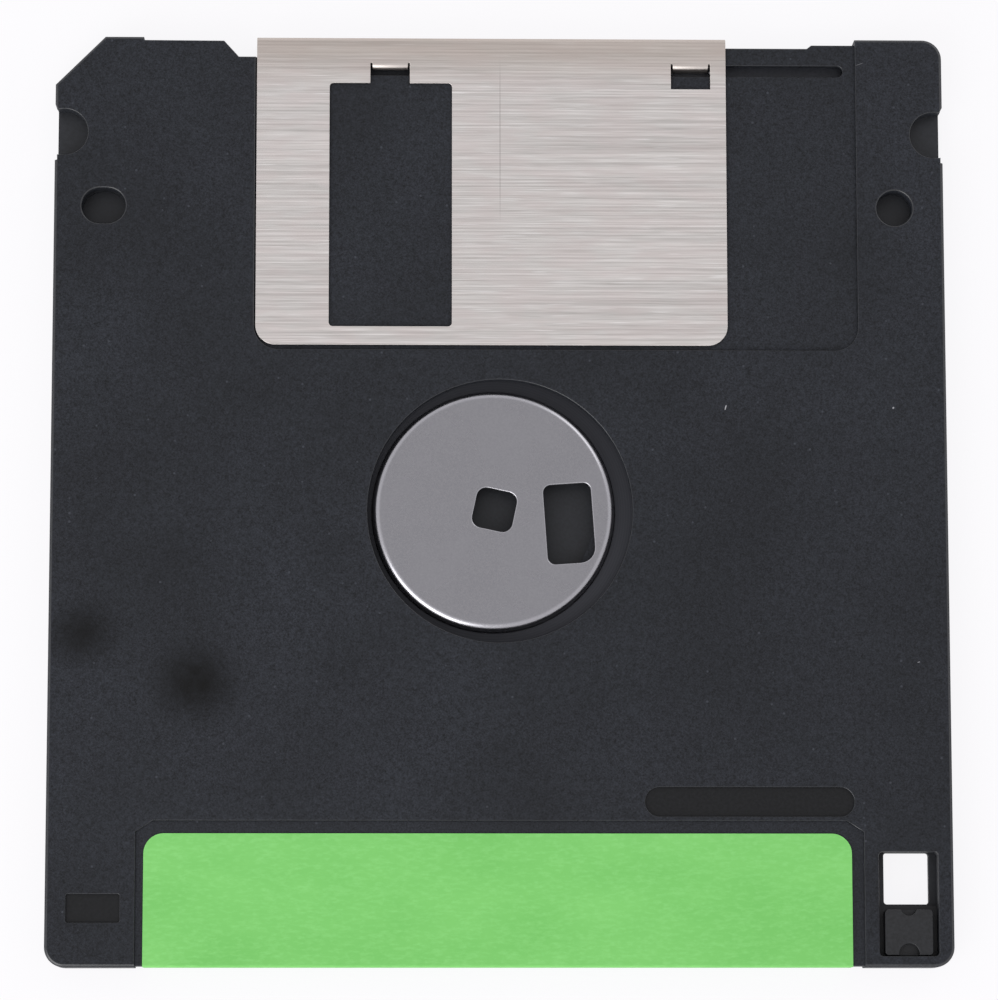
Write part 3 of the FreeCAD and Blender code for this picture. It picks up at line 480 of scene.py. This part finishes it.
@dataclass(frozen=True)
class SliderPlastic(Finish):
    """ABS, moulded in a plain mould: a touch smoother and darker than the case. Two of its uses carry painted shade
    and painted light in their tones.
    """

    base: str = "#17181a"
    light: str = "#1e1f22"
    shine: float = 0.4
    rough: float = 0.4

    def paint(self, tree: Tree, shader: Node, place: Socket) -> None:
        """Mix two near blacks by a soft grain and keep a low sheen."""
        shader.inputs["Specular IOR Level"].default_value = self.shine
        fine = grain(tree, place, 0.3, detail=2.0)
        tone = blend_colour(tree, spread(tree, fine, 0.35, 0.65), colour(self.base), colour(self.light))
        tree.links.new(tone, shader.inputs["Base Color"])
        tree.links.new(spread(tree, fine, 0.3, 0.7, self.rough, self.rough + 0.1), shader.inputs["Roughness"])
        shader.inputs["IOR"].default_value = 1.54
        emboss(tree, shader, fine, 0.008, 0.4)


@dataclass(frozen=True)
class ShutterSteel(Finish):
    """Stainless sheet, brushed across the disk: pale warm grey with long fine lines from side to side."""

    dark: str = "#bfbab5"
    bright: str = "#f5f1ee"
    warm: str = "#dccfcc"
    fold: str = "#b9ab9f"
    stroke: str = "#fbf8f6"
    scored: str = "#8d8784"
    fold_shade: tuple = (42.0, 45.5)
    imprint: tuple = ()

    def paint(self, tree: Tree, shader: Node, place: Socket) -> None:
        """Draw fine, middling and broad brush lines, and the thin line that is scored in the sheet."""
        # The real lines are about 0.05 mm wide. They are drawn 0.12 mm wide and 5 mm long, and 0.18 mm
        # wide and 29 mm long, so that they show in the render.
        fine = grain(tree, place, 0.12, (40.0, 1.0, 1.0), 1.0)
        middling = grain(tree, place, 0.18, (160.0, 1.0, 1.0), 0.0)
        broad = grain(tree, place, 1.1, (70.0, 1.0, 1.0), 3.0)
        lines = weigh(tree, (spread(tree, fine, 0.22, 0.78), 0.5), (spread(tree, middling, 0.2, 0.8), 0.32),
                      (spread(tree, broad, 0.3, 0.7), 0.18))
        tone = blend_colour(tree, lines, colour(self.dark), colour(self.bright))
        # Single deeper strokes shine.
        strokes = grain(tree, place, 0.1, (34.0, 1.0, 1.0), 0.0)
        tone = blend_colour(tree, spread(tree, strokes, 0.7, 0.82, 0.0, 0.6), tone, colour(self.stroke))
        warm = grain(tree, place, 1.6, (3.0, 1.0, 1.0), 2.0)
        tone = blend_colour(tree, spread(tree, warm, 0.4, 0.62, 0.0, 0.35), tone, colour(self.warm))
        # Towards the fold the sheet bends away from the light.
        along = add_node(tree, "ShaderNodeSeparateXYZ", {0: place}).outputs["Y"]
        near_fold = spread(tree, along, mm(self.fold_shade[0]), mm(self.fold_shade[1]), 0.0, 0.55)
        tone = blend_colour(tree, near_fold, tone, colour(self.fold))
        rough = spread(tree, middling, 0.3, 0.7, 0.42, 0.52)
        if self.imprint:
            tone = blend_colour(tree, cover(tree, place, self.imprint, True), tone, colour(self.scored))
        tree.links.new(tone, shader.inputs["Base Color"])
        tree.links.new(rough, shader.inputs["Roughness"])
        shader.inputs["Metallic"].default_value = 1.0
        height = arithmetic(tree, "ADD", fine, arithmetic(tree, "MULTIPLY", middling, 0.6))
        emboss(tree, shader, height, 0.006, 0.5)


@dataclass(frozen=True)
class HubSteel(Finish):
    """Ferritic stainless, pressed and tumbled: a smooth cool grey with a fine dull grain."""

    base: str = "#b2b1b5"
    dark: str = "#a7a6ab"

    def paint(self, tree: Tree, shader: Node, place: Socket) -> None:
        """Mix two greys by a fine grain with faint broad clouds."""
        fine = grain(tree, place, 0.16, detail=2.0)
        cloud = grain(tree, place, 5.0, detail=3.0)
        tone = blend_colour(tree, spread(tree, fine, 0.3, 0.7), colour(self.dark), colour(self.base))
        tone = blend_colour(tree, spread(tree, cloud, 0.35, 0.7, 0.0, 0.3), tone, colour(self.dark))
        tree.links.new(tone, shader.inputs["Base Color"])
        tree.links.new(spread(tree, cloud, 0.3, 0.7, 0.24, 0.3), shader.inputs["Roughness"])
        shader.inputs["Metallic"].default_value = 1.0
        emboss(tree, shader, fine, 0.004, 0.3)


@dataclass(frozen=True)
class SpringWire(Finish):
    """Spring steel, drawn: a dull grey wire with drawing lines."""

    base: str = "#9c9ca0"
    dark: str = "#7e7e83"

    def paint(self, tree: Tree, shader: Node, place: Socket) -> None:
        """Mix greys by a small grain on bare metal."""
        fine = grain(tree, place, 0.3, detail=2.0)
        tone = blend_colour(tree, spread(tree, fine, 0.3, 0.7), colour(self.dark), colour(self.base))
        tree.links.new(tone, shader.inputs["Base Color"])
        tree.links.new(spread(tree, fine, 0.3, 0.7, 0.3, 0.42), shader.inputs["Roughness"])
        shader.inputs["Metallic"].default_value = 1.0


@dataclass(frozen=True)
class CoatedFilm(Finish):
    """Polyester film, coated with oxide and calendered: an even dark grey with a dull gloss."""

    base: str = "#34353a"
    light: str = "#393a3f"
    spindle: tuple = (-0.65, -1.5)
    ring_spacing: float = 0.8

    def paint(self, tree: Tree, shader: Node, place: Socket) -> None:
        """Draw faint rings of the burnishing round the spindle and a dull gloss."""
        centred = add_node(tree, "ShaderNodeMapping", {
            "Vector": place, "Location": (mm(-self.spindle[0]), mm(-self.spindle[1]), 0.0)})
        rings = add_node(tree, "ShaderNodeTexWave", {
            "Vector": centred.outputs[0], "Scale": per_mm(self.ring_spacing), "Distortion": 0.4, "Detail": 2.0,
        }, wave_type="RINGS", rings_direction="Z")
        cloud = grain(tree, place, 3.0, detail=3.0)
        ring = spread(tree, rings.outputs["Fac"], 0.2, 0.8)
        tone = blend_colour(tree, ring, colour(self.base), colour(self.light))
        tree.links.new(tone, shader.inputs["Base Color"])
        tree.links.new(spread(tree, cloud, 0.3, 0.7, 0.4, 0.48), shader.inputs["Roughness"])
        shader.inputs["Specular IOR Level"].default_value = 0.2


@dataclass(frozen=True)
class GlueFilm(Finish):
    """Double-sided adhesive, die-cut: milky and slightly uneven."""

    base: str = "#c9c4b4"
    pale: str = "#dcd8cb"

    def paint(self, tree: Tree, shader: Node, place: Socket) -> None:
        """Mix two creams by a small mottle."""
        mottle = grain(tree, place, 0.6, detail=3.0)
        tone = blend_colour(tree, spread(tree, mottle, 0.3, 0.7), colour(self.base), colour(self.pale))
        tree.links.new(tone, shader.inputs["Base Color"])
        tree.links.new(spread(tree, mottle, 0.3, 0.7, 0.3, 0.5), shader.inputs["Roughness"])
        shader.inputs["IOR"].default_value = 1.48


@dataclass(frozen=True)
class Fleece(Finish):
    """Rayon and polyester fleece, non-woven: off-white, matt and matted from crossing fibres."""

    base: str = "#d9d8d2"
    gap: str = "#b4b3ac"
    lay: tuple = (20.0, 80.0, 140.0)

    def paint(self, tree: Tree, shader: Node, place: Socket) -> None:
        """Cross three layers of long thin fibres."""
        layers = []
        for turn in self.lay:
            turned = add_node(tree, "ShaderNodeMapping", {
                "Vector": place, "Rotation": (0.0, 0.0, math.radians(turn))})
            layers.append(grain(tree, turned.outputs[0], 0.1, (14.0, 1.0, 1.0), 2.0))
        fibres = arithmetic(tree, "MAXIMUM", arithmetic(tree, "MAXIMUM", layers[0], layers[1]), layers[2])
        tone = blend_colour(tree, spread(tree, fibres, 0.5, 0.72), colour(self.gap), colour(self.base))
        tree.links.new(tone, shader.inputs["Base Color"])
        shader.inputs["Roughness"].default_value = 0.95
        shader.inputs["Sheen Weight"].default_value = 0.25
        shader.inputs["Sheen Roughness"].default_value = 0.6
        emboss(tree, shader, fibres, 0.05, 0.6)


@dataclass(frozen=True)
class LeafFilm(Finish):
    """Polyester sheet, cut and bent: grey and smooth with a few handling lines."""

    base: str = "#8e8d88"
    pale: str = "#9d9c97"

    def paint(self, tree: Tree, shader: Node, place: Socket) -> None:
        """Mix two greys by thin lines."""
        lines = grain(tree, place, 0.25, (20.0, 1.0, 1.0), 2.0)
        tone = blend_colour(tree, spread(tree, lines, 0.3, 0.7), colour(self.base), colour(self.pale))
        tree.links.new(tone, shader.inputs["Base Color"])
        tree.links.new(spread(tree, lines, 0.3, 0.7, 0.28, 0.4), shader.inputs["Roughness"])
        shader.inputs["IOR"].default_value = 1.58


@dataclass(frozen=True)
class LabelPaper(Finish):
    """Label paper, uncoated and dyed in one green: matt, faintly mottled, with a fine tooth."""

    base: str = "#79c467"
    dark: str = "#6fbb5e"
    pale: str = "#93d985"

    def paint(self, tree: Tree, shader: Node, place: Socket) -> None:
        """Mottle the green by broad clouds and short fibres."""
        tooth = grain(tree, place, 0.3, detail=3.0)
        cloud = grain(tree, place, 6.0, (2.0, 1.0, 1.0), 4.0)
        fibre = grain(tree, place, 0.3, (2.5, 1.0, 1.0), 3.0)
        tone = blend_colour(tree, spread(tree, cloud, 0.3, 0.7), colour(self.dark), colour(self.base))
        tone = blend_colour(tree, spread(tree, fibre, 0.45, 0.75, 0.0, 0.3), tone, colour(self.pale))
        tree.links.new(tone, shader.inputs["Base Color"])
        shader.inputs["Roughness"].default_value = 0.8
        shader.inputs["IOR"].default_value = 1.5
        emboss(tree, shader, tooth, 0.012, 0.5)


# Soft darker, smoother patches on the hub side.
DARK_PATCHES = (
    Mark(-41.6, -13.9, 5.2, 4.6, 20.0, 0.85),
    Mark(-30.2, -18.8, 5.8, 5.6, 0.0, 1.0),
    Mark(-32.0, -6.1, 5.0, 4.5, 0.0, 0.22),
    Mark(-17.0, -5.5, 4.0, 4.5, 0.0, 0.16),
    Mark(-15.9, -17.6, 4.5, 4.5, 0.0, 0.14),
)
HAIRS = (
    Mark(22.7, 9.0, 0.3, 0.07, 75.0, 0.7),
    Mark(39.6, 9.0, 0.12, 0.1, 60.0, 0.6),
    Mark(41.8, -16.7, 0.16, 0.06, 20.0, 0.35),
    Mark(-41.4, 28.6, 0.1, 0.08, 80.0, 0.5),
    Mark(36.6, 44.4, 0.5, 0.035, 20.0, 0.2),
)

CASE_HUB_SIDE = CasePlastic("ABS moulded spark eroded, hub side", dark_patches=DARK_PATCHES, hairs=HAIRS)
CASE_LABEL_SIDE = CasePlastic("ABS moulded spark eroded, label side")
# The pill and tag floors at 3.0 mm are darkened as painted shade. This stands in for the shading of moulded
# lettering, which is not modelled. The floors are also smoother than the case.
FIELD = SliderPlastic("ABS fine ground floor, painted lettering shade", base="#060709", light="#0d0e11", shine=0.3)
INSIDE = SliderPlastic("ABS moulded polished, inner floor", base="#1a1c20", light="#222429")
# The shelf seen through the shutter's groove is lightened as painted light, standing in for light that reaches into
# the groove.
SHELF = SliderPlastic("ABS groove shelf, lightened as painted light", base="#34363c", light="#3e4047")
EDGE = SliderPlastic("ABS moulded, edges burnished by handling", base="#1c1d20", light="#26282c",
                     shine=0.6, rough=0.26)
SLIDER = SliderPlastic("ABS moulded plain")
SHUTTER = ShutterSteel("stainless sheet brushed", imprint=(Mark(0.03, 36.3, 9.4, 0.07, 90.0, 0.35),))
HUB = HubSteel("stainless pressed tumbled")
WIRE = SpringWire("spring steel drawn")
FILM = CoatedFilm("polyester film oxide coated")
GLUE = GlueFilm("adhesive die cut")
FLEECE = Fleece("fleece non-woven")
LEAF = LeafFilm("polyester sheet bent")
PAPER = LabelPaper("label paper uncoated green")


@dataclass
class CaseHalf:
    """One moulded half of the case, with the small roundings that a mould leaves on its edges.

    Attributes:
        outer: The height of its outer face in mm.
        recess: The height of its recessed outer faces in mm.
        levels: Heights in mm of faces that have a material of their own, each with that material; the pill and tag
            floors carry painted shade, and the groove shelf carries painted light.
        pins: Where the locating holes lie across in mm, each with the widening of the sink under it.
    """

    node: str
    name: str
    finish: Finish
    outer: float
    recess: float
    levels: tuple = ()
    pins: tuple = ()
    edge: float = 0.12
    pin_row: float = 29.5
    pin_reach: float = 2.0
    sink: tuple = (1.1, 1.6)
    sink_widening: float = 1.24
    slant: tuple = (0.12, 0.96)

    def rounded(self, edge: bmesh.types.BMEdge) -> bool:
        """Say whether an edge is one of the level outer edges that the mould rounds."""
        first, second = (vertex.co.z for vertex in edge.verts)
        if not is_sharp(edge) or abs(first - second) > SAME_PLACE:
            return False
        return any(abs(first - mm(level)) < 2 * SAME_PLACE for level in (self.outer, self.recess))

    def beside_pin(self, face: bmesh.types.BMFace, x: float) -> bool:
        """Say whether a face is the floor or wall of the shallow sink under a locating hole."""
        centre = face.calc_center_median()
        aside = max(abs(centre.x - mm(x)), abs(centre.y - mm(self.pin_row)))
        return aside < mm(self.pin_reach) and mm(self.sink[0]) < centre.z < mm(self.sink[1])

    def build(self) -> None:
        """Copy the CAD half, widen its locating sinks to the holes above them, round its edges and dress it."""
        piece = copy_node(self.node, self.name)
        for x, wider in self.pins:
            choose_faces(piece, lambda face, x=x: self.beside_pin(face, x))
            bpy.ops.transform.resize(value=(wider, self.sink_widening, 1.0),
                                     center_override=(mm(x), mm(self.pin_row), 0.0))
            bpy.ops.object.mode_set(mode="OBJECT")
        bevel(piece, self.rounded, self.edge, 3)
        shade(piece)
        hand_over(piece, Body.CASE, self.finish, [self.node])
        self.dress_faces(piece)

    def dress_faces(self, piece: bpy.types.Object) -> None:
        """Give the floors at the named heights and the rounded edges finishes of their own."""
        for number, (level, finish) in enumerate(self.levels, 1):
            piece.data.materials.append(finish.material())
            for face in piece.data.polygons:
                if face.normal.z > 0.9 and abs(face.center.z - mm(level)) < SAME_PLACE:
                    face.material_index = number
        piece.data.materials.append(EDGE.material())
        for face in piece.data.polygons:
            beside = any(abs(face.center.z - mm(level)) < mm(self.edge) for level in (self.outer, self.recess))
            if beside and self.slant[0] < abs(face.normal.z) < self.slant[1]:
                face.material_index = len(self.levels) + 1


@dataclass
class Shutter:
    """The folded shutter: sheared edges that catch the light all round."""

    sheared: float = 0.04

    def build(self) -> None:
        """Copy the CAD sheet and break its sharp edges."""
        piece = copy_node("shutter", "shutter_sheet")
        bevel(piece, is_sharp, self.sheared, 2)
        shade(piece)
        hand_over(piece, Body.SHUTTER, SHUTTER, ["shutter"])


@dataclass
class Hub:
    """The pressed hub: a dish with a rolled rim, a flange, and its two pierced holes."""

    centre: tuple = (-0.65, -1.5)
    radius: float = 12.1
    flange: float = 14.8
    top: float = 3.1
    flange_top: float = 1.55
    gauge: float = 0.3
    rim: float = 0.8
    inner_bend: float = 0.25
    hole_edge: float = 0.14
    steps: int = 160
    square_at: tuple = (0.1, 0.1)
    square: float = 4.05
    square_corner: float = 0.95
    square_turn: float = -12.0
    slot_at: tuple = (7.6, -1.28)
    slot_size: tuple = (4.75, 8.0)
    slot_corners: tuple = (0.75, 1.5)
    slot_turn: float = 4.0

    def dish(self) -> bpy.types.Object:
        """Draw the dish and its flange from a cylinder and give it the sheet's thickness."""
        deselect()
        height = self.top - self.flange_top
        place = (mm(self.centre[0]), mm(self.centre[1]), mm(self.flange_top + height / 2))
        bpy.ops.mesh.primitive_cylinder_add(vertices=self.steps, radius=mm(self.radius), depth=mm(height),
                                            location=place)
        piece = bpy.context.object
        piece.name = "hub_dish"
        settle(piece)
        choose_faces(piece, lambda face: face.normal.z < -0.9)
        bpy.ops.mesh.delete(type="ONLY_FACE")
        bpy.ops.object.mode_set(mode="OBJECT")
        bevel(piece, self.at_top, self.rim, 6)
        choose_edges(piece, lambda edge: edge.is_boundary)
        bpy.ops.mesh.extrude_edges_move()
        wider = self.flange / self.radius
        middle = (mm(self.centre[0]), mm(self.centre[1]), mm(self.flange_top))
        bpy.ops.transform.resize(value=(wider, wider, 1.0), center_override=middle)
        bpy.ops.mesh.select_all(action="SELECT")
        bpy.ops.mesh.normals_make_consistent(inside=False)
        bpy.ops.object.mode_set(mode="OBJECT")
        bevel(piece, self.at_bend, self.inner_bend, 4)
        add_modifier(piece, "SOLIDIFY", thickness=mm(self.gauge), offset=-1.0, use_even_offset=True)
        return piece

    def at_top(self, edge: bmesh.types.BMEdge) -> bool:
        """Say whether an edge lies in the dish's top face."""
        return all(abs(vertex.co.z - mm(self.top)) < SAME_HEIGHT for vertex in edge.verts)

    def pierced(self, edge: bmesh.types.BMEdge) -> bool:
        """Say whether an edge is the upper edge of a pierced hole."""
        return len(edge.link_faces) == 2 and edge.calc_face_angle(0.0) >= SHARP and self.at_top(edge)

    def at_bend(self, edge: bmesh.types.BMEdge) -> bool:
        """Say whether an edge lies where the dish turns into its flange."""
        middle = Vector((mm(self.centre[0]), mm(self.centre[1]), mm(self.flange_top)))
        return all(abs((vertex.co - middle).length - mm(self.radius)) < SAME_PLACE
                   and abs(vertex.co.z - mm(self.flange_top)) < SAME_HEIGHT for vertex in edge.verts)

    def punch(self, name: str, place: tuple, size: tuple, corners: tuple, turn: float) -> bpy.types.Object:
        """Make a punch with rounded corners.

        Args:
            name: The punch's name.
            place: Its middle, from the hub's axis, in mm.
            size: Its width and length in mm.
            corners: Its common corner radius, and that of the corner on the right at the rear.
            turn: Its turn about the axis in degrees.

        Returns:
            The punch, which stands through the dish's top.
        """
        deselect()
        bpy.ops.mesh.primitive_cube_add(size=1.0, location=(0.0, 0.0, 0.0))
        punch = bpy.context.object
        punch.name = name
        punch.scale = (mm(size[0]), mm(size[1]), mm(1.2))
        settle(punch)
        special = corners[1] > 0.0

        def upright(edge: bmesh.types.BMEdge, rear_right: bool) -> bool:
            """Say whether an edge is an upright one of the kind asked for."""
            first, second = edge.verts
            if abs(first.co.z - second.co.z) < 1e-4:
                return False
            is_rear_right = first.co.x > 0.0 > first.co.y
            return (is_rear_right and special) == rear_right

        bevel(punch, lambda edge: upright(edge, False), corners[0], 6)
        if special:
            bevel(punch, lambda edge: upright(edge, True) and is_sharp(edge), corners[1], 6)
        punch.rotation_euler = (0.0, 0.0, math.radians(turn))
        punch.location = (mm(self.centre[0] + place[0]), mm(self.centre[1] + place[1]), mm(self.top))
        settle(punch)
        return punch

    def build(self) -> None:
        """Press the dish, pierce it and break the holes' edges."""
        piece = self.dish()
        punches = [
            self.punch("square_punch", self.square_at, (self.square, self.square), (self.square_corner, 0.0),
                       self.square_turn),
            self.punch("slot_punch", self.slot_at, self.slot_size, self.slot_corners, self.slot_turn),
        ]
        for punch in punches:
            add_modifier(piece, "BOOLEAN", operation="DIFFERENCE", object=punch, solver="EXACT")
            bpy.data.objects.remove(punch)
        bevel(piece, self.pierced, self.hole_edge, 3)
        shade(piece)
        hand_over(piece, Body.DISC, HUB, ["hub"])


@dataclass
class Liner:
    """A non-woven ring that lies against the inside of a shell and wipes the film."""

    node: str
    name: str
    carrier: str
    area: float
    diameter: float = 86.6

    def build(self) -> None:
        """Copy the cut ring and split it into triangles."""
        piece = copy_node(self.node, self.name)
        pick(piece)
        bpy.ops.object.mode_set(mode="EDIT")
        bpy.ops.mesh.select_all(action="SELECT")
        bpy.ops.mesh.quads_convert_to_tris()
        bpy.ops.object.mode_set(mode="OBJECT")
        hand_over(piece, Body.CASE, FLEECE, [self.node])


@dataclass
class Spring:
    """The bent wire that pushes the shutter shut: one end sits in the case, the other on the shutter's tab."""

    radius: float = 0.2
    level: float = 1.65
    tab_end: tuple = (21.46, 43.9)
    case_end: tuple = (36.4, 41.6)
    route: tuple = ((21.46, 43.9), (23.4, 41.2), (25.4, 38.4), (26.9, 36.4), (28.1, 35.6), (29.3, 36.3),
                    (31.2, 37.8), (34.0, 39.85), (36.4, 41.6))

    def build(self) -> None:
        """Run a smooth wire through its bend."""
        deselect()
        curve = bpy.data.curves.new("spring_path", "CURVE")
        curve.dimensions = "3D"
        spline = curve.splines.new("NURBS")
        spline.points.add(len(self.route) - 1)
        for point, (x, y) in zip(spline.points, self.route):
            point.co = (mm(x), mm(y), mm(self.level), 1.0)
        spline.order_u = 3
        spline.use_endpoint_u = True
        spline.resolution_u = 8
        curve.bevel_depth = mm(self.radius)
        curve.bevel_resolution = 3
        curve.use_fill_caps = True
        piece = bpy.data.objects.new("spring_wire", curve)
        bpy.context.scene.collection.objects.link(piece)
        pick(piece)
        bpy.ops.object.convert(target="MESH")
        piece = bpy.context.object
        pick(piece)
        bpy.ops.object.shade_smooth_by_angle(angle=math.radians(50))
        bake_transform(piece)
        hand_over(piece, None, WIRE, ["shutter_spring"])


@dataclass
class Slider:
    """The write-protect slider with its grip, nail notch and pit."""

    edge: float = 0.08
    grip_level: float = 3.05

    def on_grip(self, edge: bmesh.types.BMEdge) -> bool:
        """Say whether an edge is one of the grip's top edges."""
        return is_sharp(edge) and all(vertex.co.z > mm(self.grip_level) for vertex in edge.verts)

    def build(self) -> None:
        """Copy the CAD slider and round the top edges of its grip."""
        piece = copy_node("write_protect_tab", "protect_slider")
        bevel(piece, self.on_grip, self.edge, 3)
        shade(piece)
        hand_over(piece, Body.SLIDER, SLIDER, ["write_protect_tab"])


@dataclass
class Studio:
    """Pale floor, soft light and the camera at the photograph's place."""

    tilt: float = 0.13896218670181573
    yaw: float = -0.02179065428919745
    roll: float = 0.0022941682165807304
    target: tuple = (-0.10238, -0.45389, 3.3)
    distance: float = 430.6
    focal_pixels: float = 4300.0
    frame_height: float = 1000.0
    sensor: float = 36.0
    floor_level: float = -0.02
    floor_size: float = 6.0
    floor_glow: float = 0.9
    zenith: float = 0.55
    horizon: float = 0.89
    dim_towards: tuple = (0.12, 0.17, 0.978)
    dim_range: tuple = (0.8, 0.985)
    lamps: tuple = field(default_factory=lambda: (
        ("key_panel", (-0.38, -0.46, 0.33), 0.6, 3.2),
        ("fill_panel", (0.45, 0.5, 0.5), 0.4, 0.6),
    ))

    def camera(self) -> None:
        """Set the camera where the outline of the disk says that it stood."""
        (ct, st), (cy, sy), (cr, sr) = ((math.cos(turn), math.sin(turn)) for turn in (self.tilt, self.yaw, self.roll))
        tilt = Matrix(((1, 0, 0), (0, ct, st), (0, -st, ct)))
        yaw = Matrix(((cy, 0, -sy), (0, 1, 0), (sy, 0, cy)))
        roll = Matrix(((cr, sr, 0), (-sr, cr, 0), (0, 0, 1)))
        turn = (roll @ yaw @ tilt).transposed()
        place = Vector([mm(c) for c in self.target]) + turn @ Vector((0, 0, mm(self.distance)))
        data = bpy.data.cameras.new("photo_camera")
        data.sensor_width = self.sensor
        data.lens = self.focal_pixels / self.frame_height * self.sensor
        data.clip_start, data.clip_end = 0.01, 20.0
        camera = bpy.data.objects.new("photo_camera", data)
        camera.matrix_world = Matrix.Translation(place) @ turn.to_4x4()
        bpy.context.scene.collection.objects.link(camera)
        bpy.context.scene.camera = camera

    def floor(self) -> None:
        """Lay the pale floor; the camera sees it nearly white, and it keeps the shadow."""
        deselect()
        bpy.ops.mesh.primitive_plane_add(size=self.floor_size, location=(0.0, 0.0, mm(self.floor_level)))
        floor = bpy.context.object
        floor.name = "floor"
        material = bpy.data.materials.new("paper backdrop white")
        material.use_nodes = True
        tree = material.node_tree
        tree.nodes.clear()
        plain = add_node(tree, "ShaderNodeBsdfDiffuse", {"Color": colour("#f4f3f5")})
        white = add_node(tree, "ShaderNodeEmission", {"Color": colour("#fdfcfe"), "Strength": 1.0})
        path = add_node(tree, "ShaderNodeLightPath")
        mirrored = arithmetic(tree, "MAXIMUM", path.outputs["Is Glossy Ray"], path.outputs["Is Transmission Ray"])
        seen = arithmetic(tree, "MAXIMUM", path.outputs["Is Camera Ray"], mirrored)
        share = arithmetic(tree, "MULTIPLY", seen, self.floor_glow)
        mixed = add_node(tree, "ShaderNodeMixShader", {0: share, 1: plain.outputs[0], 2: white.outputs[0]})
        add_node(tree, "ShaderNodeOutputMaterial", {"Surface": mixed.outputs[0]})
        floor.data.materials.append(material)

    def world(self) -> None:
        """Light the tent: bright all round, dimmer overhead where the camera stands."""
        world = bpy.data.worlds.new("tent")
        bpy.context.scene.world = world
        world.use_nodes = True
        tree = world.node_tree
        tree.nodes.clear()
        direction = add_node(tree, "ShaderNodeTexCoord").outputs["Generated"]
        height = add_node(tree, "ShaderNodeVectorMath", {0: direction, 1: self.dim_towards},
                          operation="DOT_PRODUCT").outputs["Value"]
        level = add_node(tree, "ShaderNodeMapRange", {
            "Value": height, "From Min": self.dim_range[0], "From Max": self.dim_range[1],
            "To Min": self.horizon, "To Max": self.zenith,
        }, interpolation_type="SMOOTHSTEP").outputs[0]
        path = add_node(tree, "ShaderNodeLightPath")
        strength = add_node(tree, "ShaderNodeMix",
                            {0: path.outputs["Is Camera Ray"], 2: level, 3: 1.0}).outputs[0]
        glow = add_node(tree, "ShaderNodeBackground", {"Color": colour("#fdfcff"), "Strength": strength})
        add_node(tree, "ShaderNodeOutputWorld", {"Surface": glow.outputs[0]})

    def lights(self) -> None:
        """Hang the large soft panels that give the edges their highlights."""
        for name, place, size, power in self.lamps:
            data = bpy.data.lights.new(name, "AREA")
            data.shape = "SQUARE"
            data.size = size
            data.energy = power
            lamp = bpy.data.objects.new(name, data)
            lamp.location = place
            lamp.rotation_mode = "QUATERNION"
            lamp.rotation_quaternion = (Vector((0, 0, 0)) - Vector(place)).to_track_quat("-Z", "Y")
            bpy.context.scene.collection.objects.link(lamp)

    def build(self) -> None:
        """Set up the camera, the floor and the light."""
        self.camera()
        self.floor()
        self.world()
        self.lights()
        bpy.context.scene.view_settings.view_transform = "Standard"


def main() -> None:
    """Build every piece in order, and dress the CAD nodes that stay."""
    logging.basicConfig(level=logging.INFO, format="%(name)s %(message)s")
    deselect()
    Studio().build()
    CaseHalf("hub_side_shell", "hub_side_case", CASE_HUB_SIDE, outer=3.3, recess=2.95,
             levels=((3.0, FIELD),)).build()
    CaseHalf("label_side_shell", "label_side_case", CASE_LABEL_SIDE, outer=0.0, recess=0.35,
             levels=((0.95, INSIDE), (1.2, INSIDE), (1.65, INSIDE), (1.35, SHELF)),
             pins=((-40.0, 1.51), (40.0, 1.24))).build()
    Shutter().build()
    Hub().build()
    Liner("hub_side_liner", "hub_side_fleece", "hub_side_case", 4908.5).build()
    Liner("label_side_liner", "label_side_fleece", "label_side_case", 4809.9).build()
    Spring().build()
    Slider().build()
    dress_node("magnetic_disc", FILM)
    dress_node("hub_adhesive_ring", GLUE)
    dress_node("lifter_leaf", LEAF)
    dress_node("paper_label", PAPER)
    deselect()


if __name__ == "__main__":
    main()
